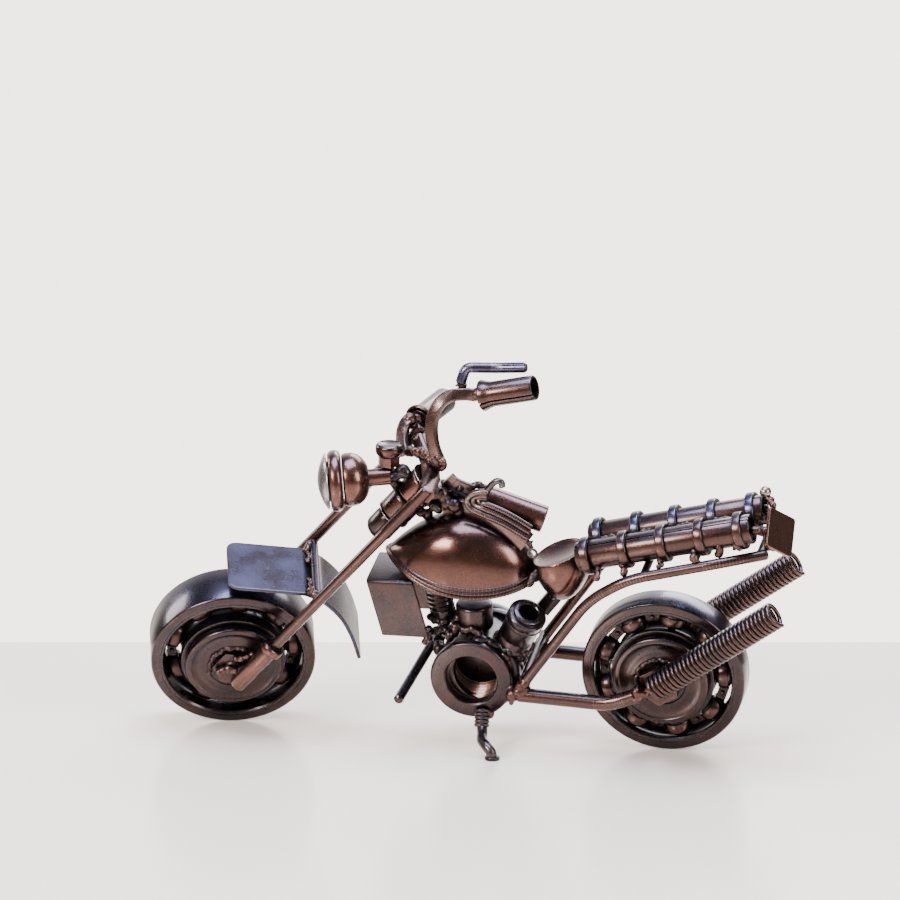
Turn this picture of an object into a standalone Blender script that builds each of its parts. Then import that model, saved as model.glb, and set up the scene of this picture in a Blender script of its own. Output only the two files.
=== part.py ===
"""Desk motorcycle welded up from workshop scrap.

Two ball bearings are the wheels. Nuts, washers, rods, tubes, springs and bent sheet
make the rest. The machine leans on its side stand with the fork turned to the left.

Lengths below are in millimetres and are turned into metres when a mesh is made.
The bike frame has its origin at the rear wheel's centre: +X to the tail, +Y to the
right-hand side, +Z up through the wheels. The fork frame has its origin on the
steering axis, level with the front axle, and its +Z runs up that axis.
"""
from math import cos, pi, radians, sin

import bmesh
import bpy
from mathutils import Matrix, Vector

MM = 0.001
GAP = 0.3                       # clearance left between pieces that touch

# Stance
LEAN = 13.0                     # degrees, towards the left-hand side
REAR_CENTRE_HEIGHT = 21.23      # rear wheel centre above the table
BOX_CENTRE = (-49.90, -4.82)    # middle of the whole machine, from the rear wheel
RAKE = 41.7                     # steering axis, degrees back from upright
STEER = 19.87                   # degrees to the left
FORK_ORIGIN = (-107.7, 0.0, -3.7)
FORK_OFFSET = 6.85              # front axle ahead of the steering axis

# Ball bearings
WHEEL_RADIUS = 21.0
OUTER_SHOULDER = 17.7
INNER_SHOULDER = 13.3
BORE_RADIUS = 10.0
PITCH_RADIUS = 15.5
BALL_RADIUS = 3.175
BALL_COUNT = 9
FRONT_WIDTH = 12.0
REAR_WIDTH = 8.0
WASHER_RADIUS = 12.2
WASHER_THICKNESS = 2.2

# Fork and handlebar
LEG_SPREAD = 12.3
LEG_RADIUS = 1.45
LEG_SETBACK = -4.7
LEG_TOP = 78.0
FENDER_HALF_WIDTH = 8.8
FENDER_THICKNESS = 0.9
LAMP_DIRECTION = (-0.7466, 0.0, -0.6652)

# Frame
STAY_SPREAD = 11.9
STAY_RADIUS = 1.9
RAIL_RADIUS = 1.35
ENGINE_CENTRE = (-48.1, 0.0, -0.3)
ENGINE_RADIUS = 10.6
ENGINE_BORE = 6.9
ENGINE_HALF_WIDTH = 9.0
TANK_CENTRE = (-51.6, 0.0, 27.3)
TANK_SIZE = (19.5, 11.6, 13.7)
TANK_TILT = 8.8
TANK_RIM_DIP = 4.0
SHEET = 1.0

# Seat
SEAT_START = Vector((-18.1, 0.0, 34.1))
SEAT_LENGTH = 44.5
SEAT_SLOPE = 13.85
SEAT_SPREAD = 5.0
SEAT_TUBE_RADIUS = 3.8
SEAT_RING_RADIUS = 4.85
SEAT_RING_WIDTH = 2.3
SEAT_RING_PITCH = 10.2
SEAT_RING_FIRST = 0.6
SEAT_RING_COUNT = 5
SEAT_RIGHT_SHIFT = 1.4

# Exhaust springs
SPRING_SPREAD = 13.8
SPRING_RADIUS = 3.65
SPRING_START = Vector((-0.6, 0.0, 1.6))
SPRING_LENGTH = 41.0
SPRING_RISE = 36.2


def clear_scene():
    for obj in list(bpy.data.objects):
        bpy.data.objects.remove(obj, do_unlink=True)


def metal(name, colour, roughness):
    material = bpy.data.materials.new(name)
    material.use_nodes = True
    shader = material.node_tree.nodes["Principled BSDF"]
    shader.inputs["Base Color"].default_value = (*colour, 1.0)
    shader.inputs["Roughness"].default_value = roughness
    shader.inputs["Metallic"].default_value = 1.0
    return material


def empty(name, parent=None, location=(0, 0, 0), turn=None):
    obj = bpy.data.objects.new(name, None)
    bpy.context.scene.collection.objects.link(obj)
    obj.parent = parent
    obj.location = Vector(location) * MM
    if turn is not None:
        obj.rotation_euler = turn.to_euler()
    return obj


def finish(name, bm, parent, colour, location=(0, 0, 0)):
    """Turn a bmesh in millimetres into a named object of the scene."""
    bmesh.ops.recalc_face_normals(bm, faces=bm.faces)
    bmesh.ops.scale(bm, vec=(MM, MM, MM), verts=bm.verts)
    mesh = bpy.data.meshes.new(name)
    bm.to_mesh(mesh)
    bm.free()
    mesh.materials.append(metal(name + "_metal", *colour))
    mesh.shade_smooth()
    mesh.set_sharp_from_angle(angle=radians(35))
    obj = bpy.data.objects.new(name, mesh)
    bpy.context.scene.collection.objects.link(obj)
    obj.parent = parent
    obj.location = Vector(location) * MM
    return obj


def cut(target, cutter):
    """Subtract a guide shape, which stays hidden in renders."""
    cutter.hide_render = True
    cutter.display_type = 'WIRE'
    boolean = target.modifiers.new("cut", 'BOOLEAN')
    boolean.operation = 'DIFFERENCE'
    boolean.solver = 'EXACT'
    boolean.object = cutter


def along(axis):
    return Vector(axis).to_track_quat('Z', 'Y').to_matrix().to_4x4()


def turned(profile, axis=(0, 0, 1), centre=(0, 0, 0), segments=24):
    """Spin a profile of (radius, height) pairs about an axis.

    A profile that starts and ends on the axis gives a solid, any other one a ring.
    """
    bm = bmesh.new()
    verts = [bm.verts.new((radius, 0, height)) for radius, height in profile]
    edges = [bm.edges.new(pair) for pair in zip(verts, verts[1:])]
    if profile[0][0] > 0:
        edges.append(bm.edges.new((verts[-1], verts[0])))
    bmesh.ops.spin(bm, geom=verts + edges, cent=(0, 0, 0), axis=(0, 0, 1), dvec=(0, 0, 0),
                   angle=2 * pi, steps=segments, use_merge=True, use_duplicate=False)
    bmesh.ops.remove_doubles(bm, verts=bm.verts, dist=1e-4)
    bmesh.ops.transform(bm, matrix=Matrix.Translation(centre) @ along(axis), verts=bm.verts)
    return bm


def disc_profile(radius, low, high, edge=0.5, bore=0.0):
    """Outline of a round-edged disc, collar or barrel."""
    outer = [(radius - edge, low), (radius, low + edge), (radius, high - edge), (radius - edge, high)]
    return [(bore, low)] + outer + [(bore, high)]


def round_section(radius, sides=12):
    return [(radius * cos(2 * pi * i / sides), radius * sin(2 * pi * i / sides)) for i in range(sides)]


def flat_section(width, thickness):
    half, depth = width / 2, thickness / 2
    return [(-half, -depth), (half, -depth), (half, depth), (-half, depth)]


def bent(points, cut_back, steps=4):
    """Polyline whose corners are rounded off as in a bent rod."""
    points = [Vector(p) for p in points]
    path = [points[0]]
    for before, corner, after in zip(points, points[1:], points[2:]):
        start = corner + (before - corner).normalized() * cut_back
        end = corner + (after - corner).normalized() * cut_back
        for i in range(steps + 1):
            t = i / steps
            path.append(start * (1 - t) ** 2 + corner * 2 * t * (1 - t) + end * t ** 2)
    path.append(points[-1])
    return path


def smooth(points, steps=3):
    """Catmull-Rom curve through the points."""
    points = [Vector(p) for p in points]
    padded = [points[0] * 2 - points[1]] + points + [points[-1] * 2 - points[-2]]
    path = []
    for a, b, c, d in zip(padded, padded[1:], padded[2:], padded[3:]):
        for i in range(steps):
            t = i / steps
            path.append((b * 2 + (c - a) * t + (a * 2 - b * 5 + c * 4 - d) * t ** 2
                         + (b * 3 - a - c * 3 + d) * t ** 3) / 2)
    path.append(points[-1])
    return path


def sweep(path, section, up=(0, 1, 0), scales=None):
    """Carry a section of (side, up) points along a path and close both ends."""
    bm = bmesh.new()
    path = [Vector(p) for p in path]
    up = Vector(up)
    rings = []
    for i, point in enumerate(path):
        before = path[max(i - 1, 0)]
        after = path[min(i + 1, len(path) - 1)]
        tangent = (after - before).normalized()
        side = tangent.cross(up).normalized()
        top = side.cross(tangent)
        size = scales[i] if scales else 1.0
        rings.append([bm.verts.new(point + side * s * size + top * t * size) for s, t in section])
    count = len(section)
    for low, high in zip(rings, rings[1:]):
        for i in range(count):
            j = (i + 1) % count
            bm.faces.new((low[i], low[j], high[j], high[i]))
    bm.faces.new(rings[0])
    bm.faces.new(rings[-1])
    return bm


def mirrored(points, side):
    """The same path on the left (side -1) or on the right (side +1)."""
    return [Vector((p[0], p[1] * side, p[2])) for p in points]


SIDES = (("left", -1), ("right", 1))
BRONZE = ((0.20, 0.13, 0.115), 0.30)
DARK = ((0.07, 0.055, 0.055), 0.32)
COPPER = ((0.33, 0.20, 0.165), 0.30)
BLUED = ((0.22, 0.21, 0.25), 0.25)


def ball_bearing(prefix, width, fixed_parent, spin_parent, cage_parent, location):
    """Outer ring, inner ring and one body of balls held in their cage, axle along Y."""
    half = width / 2
    groove = BALL_RADIUS + GAP
    arc = [radians(a) for a in (50, 25, 0, -25, -50)]
    outer = [(OUTER_SHOULDER + 0.3, half), (WHEEL_RADIUS - 0.6, half), (WHEEL_RADIUS, half - 0.6),
             (WHEEL_RADIUS, 0.6 - half), (WHEEL_RADIUS - 0.6, -half), (OUTER_SHOULDER + 0.3, -half),
             (OUTER_SHOULDER, 0.3 - half)]
    outer += [(PITCH_RADIUS + groove * cos(a), groove * sin(a)) for a in reversed(arc)]
    outer += [(OUTER_SHOULDER, half - 0.3)]
    finish(prefix + "_wheel_outer_ring", turned(outer, (0, 1, 0), segments=48), spin_parent, DARK)
    inner = [(BORE_RADIUS, half), (INNER_SHOULDER, half)]
    inner += [(PITCH_RADIUS - groove * cos(a), groove * sin(a)) for a in arc]
    inner += [(INNER_SHOULDER, -half), (BORE_RADIUS, -half)]
    finish(prefix + "_wheel_inner_ring", turned(inner, (0, 1, 0), segments=32), fixed_parent, DARK,
           location)
    ring = [(PITCH_RADIUS - 1.1, -2.2), (PITCH_RADIUS + 1.1, -2.2), (PITCH_RADIUS + 1.1, 2.2),
            (PITCH_RADIUS - 1.1, 2.2)]
    cage = finish(prefix + "_wheel_ball_cage", turned(ring, (0, 1, 0), segments=36), cage_parent, COPPER)
    balls = bmesh.new()
    for i in range(BALL_COUNT):
        angle = 2 * pi * (i + 0.5) / BALL_COUNT
        place = Matrix.Translation((PITCH_RADIUS * cos(angle), 0, PITCH_RADIUS * sin(angle)))
        bmesh.ops.create_uvsphere(balls, u_segments=12, v_segments=8, radius=BALL_RADIUS, matrix=place)
    guide = finish(prefix + "_ball_guide", balls, cage_parent, DARK)
    cut(cage, guide)
    cage.modifiers["cut"].operation = 'UNION'


def wheel_hub(prefix, width, parent, location, reach):
    """Cover washers and the axle, whose two nuts are welded on as one piece with it."""
    half = width / 2
    face = half + GAP
    outside = face + WASHER_THICKNESS
    for label, side in SIDES:
        washer = disc_profile(WASHER_RADIUS, face, outside, 0.5, 3.0)
        finish(f"{prefix}_cover_washer_{label}", turned(washer, (0, side, 0), segments=32), parent,
               COPPER, location)
    nut = [(2.7, outside + GAP), (5.4, outside + GAP), (5.4, reach - 0.7), (5.0, reach - GAP),
           (0, reach - GAP)]
    axle = [(radius, -height) for radius, height in reversed(nut)] + nut
    finish(prefix + "_axle", turned(axle, (0, 1, 0), segments=12), parent, BRONZE, location)


def frame_rods(bike):
    """Chain stays, seat rails and the cross rods between them."""
    stay = [(-36.3, STAY_SPREAD, -3.2), (-12.0, STAY_SPREAD, -4.3), (-5.0, STAY_SPREAD, -1.2)]
    rail = [(28.8, 5.4, 37.9), (18.2, 10.0, 37.2), (-6.0, STAY_SPREAD, 31.8),
            (-16.5, STAY_SPREAD, 25.0), (-34.2, STAY_SPREAD, 0.2)]
    for label, side in SIDES:
        path = bent(mirrored(stay, side), 4.0)
        finish(f"chain_stay_{label}", sweep(path, round_section(STAY_RADIUS)), bike, BRONZE)
        path = bent(mirrored(rail, side), 5.0)
        finish(f"seat_rail_{label}", sweep(path, round_section(RAIL_RADIUS)), bike, BRONZE)
    for name, x, z, rail_y in (("front", -2.2, 32.6, 11.6), ("rear", 26.8, 37.7, 5.9)):
        reach = rail_y - RAIL_RADIUS - GAP
        path = [(x, -reach, z), (x, reach, z)]
        finish(f"seat_cross_rod_{name}", sweep(path, round_section(1.0, 10), (0, 0, 1)), bike, DARK)


def seat(bike):
    """Two rows of tube, each with its five collars in one piece."""
    slope = radians(SEAT_SLOPE)
    axis = Vector((cos(slope), 0, sin(slope)))
    for label, side in SIDES:
        start = SEAT_START + Vector((0, SEAT_SPREAD * side, 0))
        if side > 0:
            start += axis * SEAT_RIGHT_SHIFT
        profile = [(0.0, -2.0), (3.4, -1.4)]
        for i in range(SEAT_RING_COUNT):
            low = SEAT_RING_FIRST + i * SEAT_RING_PITCH - SEAT_RING_WIDTH / 2
            high = low + SEAT_RING_WIDTH
            profile += [(SEAT_TUBE_RADIUS, low), (SEAT_RING_RADIUS - 0.3, low + 0.1),
                        (SEAT_RING_RADIUS, low + 0.6), (SEAT_RING_RADIUS, high - 0.6),
                        (SEAT_RING_RADIUS - 0.3, high - 0.1), (SEAT_TUBE_RADIUS, high)]
        profile += [(SEAT_TUBE_RADIUS, SEAT_LENGTH - 0.6), (3.0, SEAT_LENGTH), (0.0, SEAT_LENGTH)]
        finish(f"seat_tube_{label}", turned(profile, axis, start, 20), bike, BRONZE)


def tail(bike):
    """Square tail plate standing on its corner behind the seat, and the ball above it."""
    plate = bmesh.new()
    bmesh.ops.create_cube(plate, size=1.0)
    bmesh.ops.scale(plate, vec=(10.3, 10.3, SHEET), verts=plate.verts)
    normal = Vector((0.874, -0.324, 0.361)).normalized()
    first = Vector((-0.04, 0.68, -0.73))
    first = (first - normal * first.dot(normal)).normalized()
    frame = Matrix((first, normal.cross(first), normal)).transposed().to_4x4()
    bmesh.ops.transform(plate, matrix=Matrix.Translation((30.9, 0, 41.4)) @ frame, verts=plate.verts)
    finish("tail_plate", plate, bike, BLUED)
    ball = bmesh.new()
    bmesh.ops.create_uvsphere(ball, u_segments=14, v_segments=9, radius=1.5,
                              matrix=Matrix.Translation((26.6, 5.0, 50.0)))
    finish("tail_ball", ball, bike, BRONZE)


def saddle(bike):
    """Scooped saddle nose between the tank and the seat tubes, and the strut below it."""
    scoop = bmesh.new()
    bmesh.ops.create_uvsphere(scoop, u_segments=24, v_segments=16, radius=1.0)
    for vert in scoop.verts:
        x, y, z = vert.co
        top = min(z, 0.42 + 0.28 * x)
        vert.co = (6.6 * x * (1.0 + 0.25 * min(z, 0.0)), 7.4 * y, 8.6 * top)
    bmesh.ops.transform(scoop, matrix=Matrix.Translation((-25.7, -1.0, 29.3)), verts=scoop.verts)
    finish("saddle_nose", scoop, bike, COPPER)
    path = [(-31.1, -0.2, 15.4), (-27.1, -0.2, 20.5)]
    finish("saddle_strut", sweep(path, flat_section(4.0, 2.6)), bike, DARK)


def tank(bike):
    """Pressed bowl turned upside down, with the sheet trim and the rolled tube on top."""
    bowl = bmesh.new()
    bmesh.ops.create_uvsphere(bowl, u_segments=32, v_segments=16, radius=1.0)
    bmesh.ops.bisect_plane(bowl, geom=bowl.verts[:] + bowl.edges[:] + bowl.faces[:],
                           plane_co=(0, 0, 0), plane_no=(0, 0, 1), clear_inner=True)
    for vert in bowl.verts:
        x, y, z = vert.co
        taper = (1 - x * x) ** 0.5 if x < 0 else 1.0
        width = TANK_SIZE[1] * taper ** 0.5
        rise = TANK_SIZE[2] * taper * z
        vert.co = (TANK_SIZE[0] * x, width * y, rise - TANK_RIM_DIP * y * y * (1 - z))
    place = Matrix.Translation(TANK_CENTRE) @ Matrix.Rotation(radians(TANK_TILT), 4, 'Y')
    bmesh.ops.transform(bowl, matrix=place, verts=bowl.verts)
    shell = finish("tank_bowl", bowl, bike, COPPER)
    wall = shell.modifiers.new("wall", 'SOLIDIFY')
    wall.thickness = SHEET * MM
    wall.offset = -1.0
    wall.use_even_offset = False
    strip = smooth([(-33.0, -3.6, 37.4), (-39.5, -3.0, 41.0), (-44.9, -2.0, 42.9), (-47.8, -1.7, 44.0),
                    (-48.9, -1.5, 45.6), (-48.2, -1.5, 47.3), (-46.0, -1.5, 48.5), (-43.2, -1.5, 48.7)], 2)
    finish("tank_trim", sweep(strip, flat_section(1.8, 1.4)), bike, BLUED)
    tube = disc_profile(3.5, 0.0, 15.2, 0.3, 2.8)
    finish("tank_rolled_tube", turned(tube, (0.948, 0, -0.318), (-44.9, 4.3, 43.6), 20), bike, BLUED)


def front_cover(bike):
    """Sheet folded over the down bolt: a top between two side plates."""
    half, depth, wall = 8.0, 15.8, SHEET
    outline = [(-half, -depth), (-half, 0), (half, 0), (half, -depth), (half - wall, -depth),
               (half - wall, -wall), (wall - half, -wall), (wall - half, -depth)]
    bm = sweep([(-75.0, 0, 25.0), (-62.9, 0, 25.1)], outline, (0, 0, 1))
    for vert in bm.verts:
        vert.co.x += 0.21 * (25.5 - vert.co.z)
    finish("front_cover", bm, bike, BRONZE)


def engine(bike):
    """Threaded barrel as the crankcase with a washer on each side, two cylinders and a stud."""
    barrel = disc_profile(9.9, -ENGINE_HALF_WIDTH, ENGINE_HALF_WIDTH, 0.4)
    case = finish("crankcase_barrel", turned(barrel, (0, 1, 0), ENGINE_CENTRE, 36), bike, DARK)
    for label, side in SIDES:
        bore = disc_profile(ENGINE_BORE, 1.0, ENGINE_HALF_WIDTH + 2.0, 0.2)
        cutter = finish(f"bore_guide_{label}", turned(bore, (0, side, 0), ENGINE_CENTRE, 28), bike, DARK)
        cut(case, cutter)
        low = ENGINE_HALF_WIDTH + GAP
        cover = disc_profile(ENGINE_RADIUS, low, low + 2.2, 0.4, ENGINE_BORE)
        finish(f"engine_cover_{label}", turned(cover, (0, side, 0), ENGINE_CENTRE, 32), bike, COPPER)
    block = disc_profile(4.7, 0.0, 7.0, 0.8)
    finish("engine_block", turned(block, (0, 0, 1), (-48.6, -1.5, 10.0), 24), bike, BLUED)
    base, head = Vector((-38.6, -4.4, 7.2)), Vector((-32.6, -8.6, 19.0))
    axis = (head - base).normalized()
    length = (head - base).length
    barrel = [(0.0, 0.0), (4.6, 0.0), (4.6, 1.2), (4.1, 1.5), (4.1, length - 3.4), (4.8, length - 3.0),
              (4.8, length - 1.2), (3.7, length - 0.9), (3.7, length), (2.7, length),
              (2.7, length - 4.0), (0.0, length - 4.0)]
    finish("rear_cylinder", turned(barrel, axis, base, 24), bike, BRONZE)
    bolt = disc_profile(3.3, 0.0, 24.2, 0.4)
    finish("down_bolt", turned(bolt, (-0.12, 0, 0.99), (-57.0, 0, 10.9), 16), bike, DARK)
    peg = [(-59.4, 9.0, 4.4), (-64.2, -24.0, -0.4)]
    finish("foot_peg_rod", sweep(peg, round_section(1.25), (0, 0, 1)), bike, DARK)


def springs(bike):
    rise = radians(SPRING_RISE)
    axis = (cos(rise), 0, sin(rise))
    for label, side in SIDES:
        start = SPRING_START + Vector((0, SPRING_SPREAD * side, 0))
        coil = disc_profile(SPRING_RADIUS, 0.0, SPRING_LENGTH, 0.4, SPRING_RADIUS - 1.2)
        finish(f"exhaust_spring_{label}", turned(coil, axis, start, 20), bike, DARK)


def side_stand(bike, machine):
    """Bent leg under the left engine cover and the flat foot it stands on."""
    foot = Vector((-40.9, -22.41, -16.6))
    path = smooth([(-45.4, -11.95, -10.4), (-44.8, -14.8, -12.9), (-44.2, -18.6, -13.4),
                   (-42.6, -21.2, -13.4), (-41.2, -22.4, -14.4)])
    scales = [1.25 if i < 3 else 1.0 for i in range(len(path) - 2)] + [0.85, 0.7]
    finish("side_stand_leg", sweep(path, round_section(1.4), (1, 0, 0), scales), bike, DARK)
    lean = radians(LEAN)
    ground = Vector((foot.x, foot.y * cos(lean) - foot.z * sin(lean), 0))
    pad = disc_profile(1.9, 0.0, 0.9, 0.2)
    centre = ground - Vector((BOX_CENTRE[0], BOX_CENTRE[1], 0))
    finish("side_stand_foot", turned(pad, (0, 0, 1), centre, 24), machine, DARK)


def fork(steering):
    """Legs, lower sockets, stem barrels and crown."""
    for label, side in SIDES:
        y = LEG_SPREAD * side
        leg = disc_profile(LEG_RADIUS, 14.6, LEG_TOP, 0.3)
        finish(f"fork_leg_{label}", turned(leg, (0, 0, 1), (LEG_SETBACK, y, 0), 12), steering, BRONZE)
        socket = [(0, -2.2), (1.6, -2.2), (2.2, -1.4), (2.2, 12.0), (2.7, 12.6), (2.7, 13.8),
                  (2.2, 14.3), (0, 14.3)]
        finish(f"fork_socket_{label}", turned(socket, (0, 0, 1), (LEG_SETBACK, y, 0), 16), steering,
               COPPER)
    cup = [(2.3, 51.6), (2.9, 51.6), (3.7, 52.8), (3.7, 57.2), (3.3, 58.7), (2.3, 58.7)]
    finish("stem_cup", turned(cup, segments=24), steering, DARK)
    barrel = disc_profile(4.3, 59.0, 65.7, 0.7, 2.3)
    finish("stem_barrel", turned(barrel, segments=24), steering, COPPER)
    stem = disc_profile(2.0, 51.0, 73.0, 0.3)
    finish("steering_stem", turned(stem, segments=16), steering, DARK)
    reach = LEG_SPREAD - LEG_RADIUS - GAP
    crown = sweep([(-3.4, -reach, 75.4), (-1.0, -3.0, 75.4), (-1.0, 3.0, 75.4), (-3.4, reach, 75.4)],
                  flat_section(4.2, 3.8), (0, 0, 1))
    finish("fork_crown", crown, steering, COPPER)


def head_tube(bike):
    """Upper barrel of the steering head, which the stem turns in, and the strip to the tank."""
    axis = Vector((sin(radians(RAKE)), 0, cos(radians(RAKE))))
    barrel = disc_profile(4.3, 66.0, 72.6, 0.6, 2.3)
    finish("head_tube", turned(barrel, axis, FORK_ORIGIN, 24), bike, BRONZE)
    strip = smooth([(-54.3, 1.7, 50.4), (-53.0, 1.8, 49.1), (-51.0, 2.0, 47.9), (-48.2, 2.2, 46.9)], 2)
    finish("neck_strip", sweep(strip, flat_section(3.6, 1.4)), bike, BRONZE)


def handlebar(steering):
    """Bent strip arms, grips with flared collars and the brake lever."""
    left = smooth([(-0.8, -1.4, 79.3), (-5.1, 0.8, 82.0), (-8.2, 3.6, 85.6), (-9.4, 5.6, 89.8),
                   (-8.2, 6.9, 93.2), (-5.4, 6.95, 96.0), (-3.2, 6.9, 97.2)], 2)
    right = smooth([(-6.3, 6.2, 72.1), (-7.2, 8.5, 72.6), (-7.9, 11.0, 73.6), (-8.3, 13.0, 75.2),
                    (-7.5, 14.9, 76.6)], 2)
    finish("handlebar_arm_left", sweep(left, flat_section(3.2, 1.9), (0.7, 0.6, 0)), steering, BLUED)
    finish("handlebar_arm_right", sweep(right, flat_section(3.2, 1.9), (0.7, 0.6, 0)), steering, BLUED)
    grips = (("left", Vector((-2.0, 6.85, 97.8)), Vector((0.50, -0.25, 0.83))),
             ("right", Vector((-5.0, 15.6, 76.7)), Vector((0.55, 0.83, 0.11))))
    for label, start, axis in grips:
        profile = [(0, 0.3), (3.4, 0.3), (4.0, 0.9), (3.2, 3.6), (3.2, 14.4), (2.6, 15.0), (0, 15.0)]
        finish(f"grip_{label}", turned(profile, axis.normalized(), start, 20), steering, BRONZE)
    lever = bent([(-7.2, 9.2, 96.5), (-8.3, 11.2, 100.3), (-2.0, 10.6, 105.2), (2.6, 8.2, 111.0)], 1.6)
    finish("brake_lever", sweep(lever, round_section(1.35, 10), (0.3, 1, 0.1)), steering, BLUED)


def headlight(steering):
    """Lens, rim and shell with its stud along the lamp's axis, and the gauge on the stud."""
    axis = Vector(LAMP_DIRECTION)
    centre = Vector((-15.0, 0, 62.2))
    shell = [(0, -9.2), (2.2, -9.2), (2.2, -3.6), (3.4, -3.4), (5.6, -2.0), (6.8, 0.2), (6.8, 2.2), (6.2, 2.9), (0, 2.9)]
    finish("headlight_shell", turned(shell, axis, centre, 28), steering, COPPER)
    rim = disc_profile(7.85, 3.2, 6.4, 0.9, 5.4)
    finish("headlight_rim", turned(rim, axis, centre, 32), steering, COPPER)
    lens = [(0, 3.2), (5.1, 3.2), (5.1, 6.7), (7.2, 6.8), (6.2, 7.7), (3.6, 8.8), (0, 9.4)]
    finish("headlight_lens", turned(lens, axis, centre, 28), steering, BLUED)
    up = Vector((-0.56, 0.34, 0.76)).normalized()
    base = Vector((-9.6, 2.2, 69.6))
    gauge = [(0, 0), (2.6, 0), (2.6, 3.2), (3.4, 3.6), (3.4, 5.2), (2.8, 6.0), (0, 6.6)]
    finish("gauge", turned(gauge, up, base, 20), steering, BRONZE)


def fender(steering):
    """One strip: flat over the tyre, creased at the cross rod and curved down behind it."""
    y_axis = (0, 0, 1)
    front = Vector((-24.0, 0, 20.7))
    crease = Vector((-6.6, 0, 30.2))
    rear = smooth([crease, (-1.5, 0, 30.6), (5.6, 0, 28.9), (12.0, 0, 25.2), (17.6, 0, 20.8)], 3)
    section = flat_section(FENDER_HALF_WIDTH * 2, FENDER_THICKNESS)
    finish("fender", sweep([front] + rear, section, y_axis), steering, BLUED)
    reach = LEG_SPREAD - LEG_RADIUS - GAP
    rod = [(LEG_SETBACK, -reach, 32.2), (LEG_SETBACK, reach, 32.2)]
    finish("fender_cross_rod", sweep(rod, round_section(1.1, 10), (0, 0, 1)), steering, DARK)


def main():
    clear_scene()
    machine = empty("machine")
    lean = Matrix.Rotation(radians(LEAN), 3, 'X')
    place = (-BOX_CENTRE[0], -BOX_CENTRE[1], REAR_CENTRE_HEIGHT)
    bike = empty("bike", machine, place, lean)
    turn = Matrix.Rotation(radians(RAKE), 3, 'Y') @ Matrix.Rotation(radians(STEER), 3, 'Z')
    steering = empty("steering", bike, FORK_ORIGIN, turn)
    front_centre = (-FORK_OFFSET, 0, 0)
    rear_spin = empty("rear_spin", bike)
    rear_cage_spin = empty("rear_cage_spin", bike)
    front_spin = empty("front_spin", steering, front_centre)
    front_cage_spin = empty("front_cage_spin", steering, front_centre)

    ball_bearing("rear", REAR_WIDTH, bike, rear_spin, rear_cage_spin, (0, 0, 0))
    wheel_hub("rear", REAR_WIDTH, bike, (0, 0, 0), STAY_SPREAD - STAY_RADIUS)
    ball_bearing("front", FRONT_WIDTH, steering, front_spin, front_cage_spin, front_centre)
    wheel_hub("front", FRONT_WIDTH, steering, front_centre, LEG_SPREAD - 2.2)
    frame_rods(bike)
    seat(bike)
    tail(bike)
    saddle(bike)
    tank(bike)
    front_cover(bike)
    engine(bike)
    springs(bike)
    side_stand(bike, machine)
    head_tube(bike)
    fork(steering)
    handlebar(steering)
    headlight(steering)
    fender(steering)


main()
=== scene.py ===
"""Looks of a desk motorcycle welded up from bearings, nuts, washers, rods, tubes and springs.

Lengths are in millimetres until a piece is finished. The bike frame starts at the rear
wheel's centre: +X to the tail, +Y to the right-hand side, +Z up through the wheels. The
fork frame starts on the steering axis, level with the front axle, and +Z runs up it.
"""
import random
from math import cos, hypot, pi, radians, sin, sqrt

import bmesh
import bpy
from mathutils import Matrix, Vector


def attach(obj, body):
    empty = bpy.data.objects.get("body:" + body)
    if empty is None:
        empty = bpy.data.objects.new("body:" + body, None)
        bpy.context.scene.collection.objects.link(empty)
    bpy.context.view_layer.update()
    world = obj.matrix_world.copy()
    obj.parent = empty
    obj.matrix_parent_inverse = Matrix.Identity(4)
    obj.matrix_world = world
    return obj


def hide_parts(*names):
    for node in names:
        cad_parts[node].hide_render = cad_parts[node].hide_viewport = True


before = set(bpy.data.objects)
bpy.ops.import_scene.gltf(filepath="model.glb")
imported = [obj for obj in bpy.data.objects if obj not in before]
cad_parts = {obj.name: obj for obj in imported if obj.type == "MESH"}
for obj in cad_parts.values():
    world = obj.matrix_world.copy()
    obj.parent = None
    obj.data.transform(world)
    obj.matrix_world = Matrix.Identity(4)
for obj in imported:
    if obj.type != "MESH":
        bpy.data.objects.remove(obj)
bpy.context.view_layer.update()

bl_info = {
    "name": "Scrap Metal Motorcycle",
    "version": (1, 0, 0),
    "blender": (4, 5, 0),
    "location": "View3D > Sidebar > Motorcycle",
    "description": "Builds the plated surfaces, coils, threads and welds of a desk motorcycle",
    "category": "Add Mesh",
}

MM = 0.001

# Stance, as in the solid model
LEAN = 13.0
REAR_CENTRE = (49.90, 4.82, 21.23)
RAKE = 41.7
STEER = 19.87
FORK_ORIGIN = (-107.7, 0.0, -3.7)
BIKE = Matrix.Translation(REAR_CENTRE) @ Matrix.Rotation(radians(LEAN), 4, 'X')
FORK = (BIKE @ Matrix.Translation(FORK_ORIGIN) @ Matrix.Rotation(radians(RAKE), 4, 'Y')
        @ Matrix.Rotation(radians(STEER), 4, 'Z'))
FRONT_WHEEL = FORK @ Matrix.Translation((-6.85, 0, 0))
WORLD = Matrix.Identity(4)

# Ball bearings
WHEEL_RADIUS = 21.0
OUTER_SHOULDER = 17.7
INNER_SHOULDER = 13.3
BORE_RADIUS = 10.0
PITCH_RADIUS = 15.5
BALL_RADIUS = 3.175
BALL_COUNT = 9
GROOVE_RADIUS = 3.42
FRONT_WIDTH = 12.0
REAR_WIDTH = 8.0
WASHER_RADIUS = 12.2
WASHER_THICKNESS = 2.2

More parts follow.
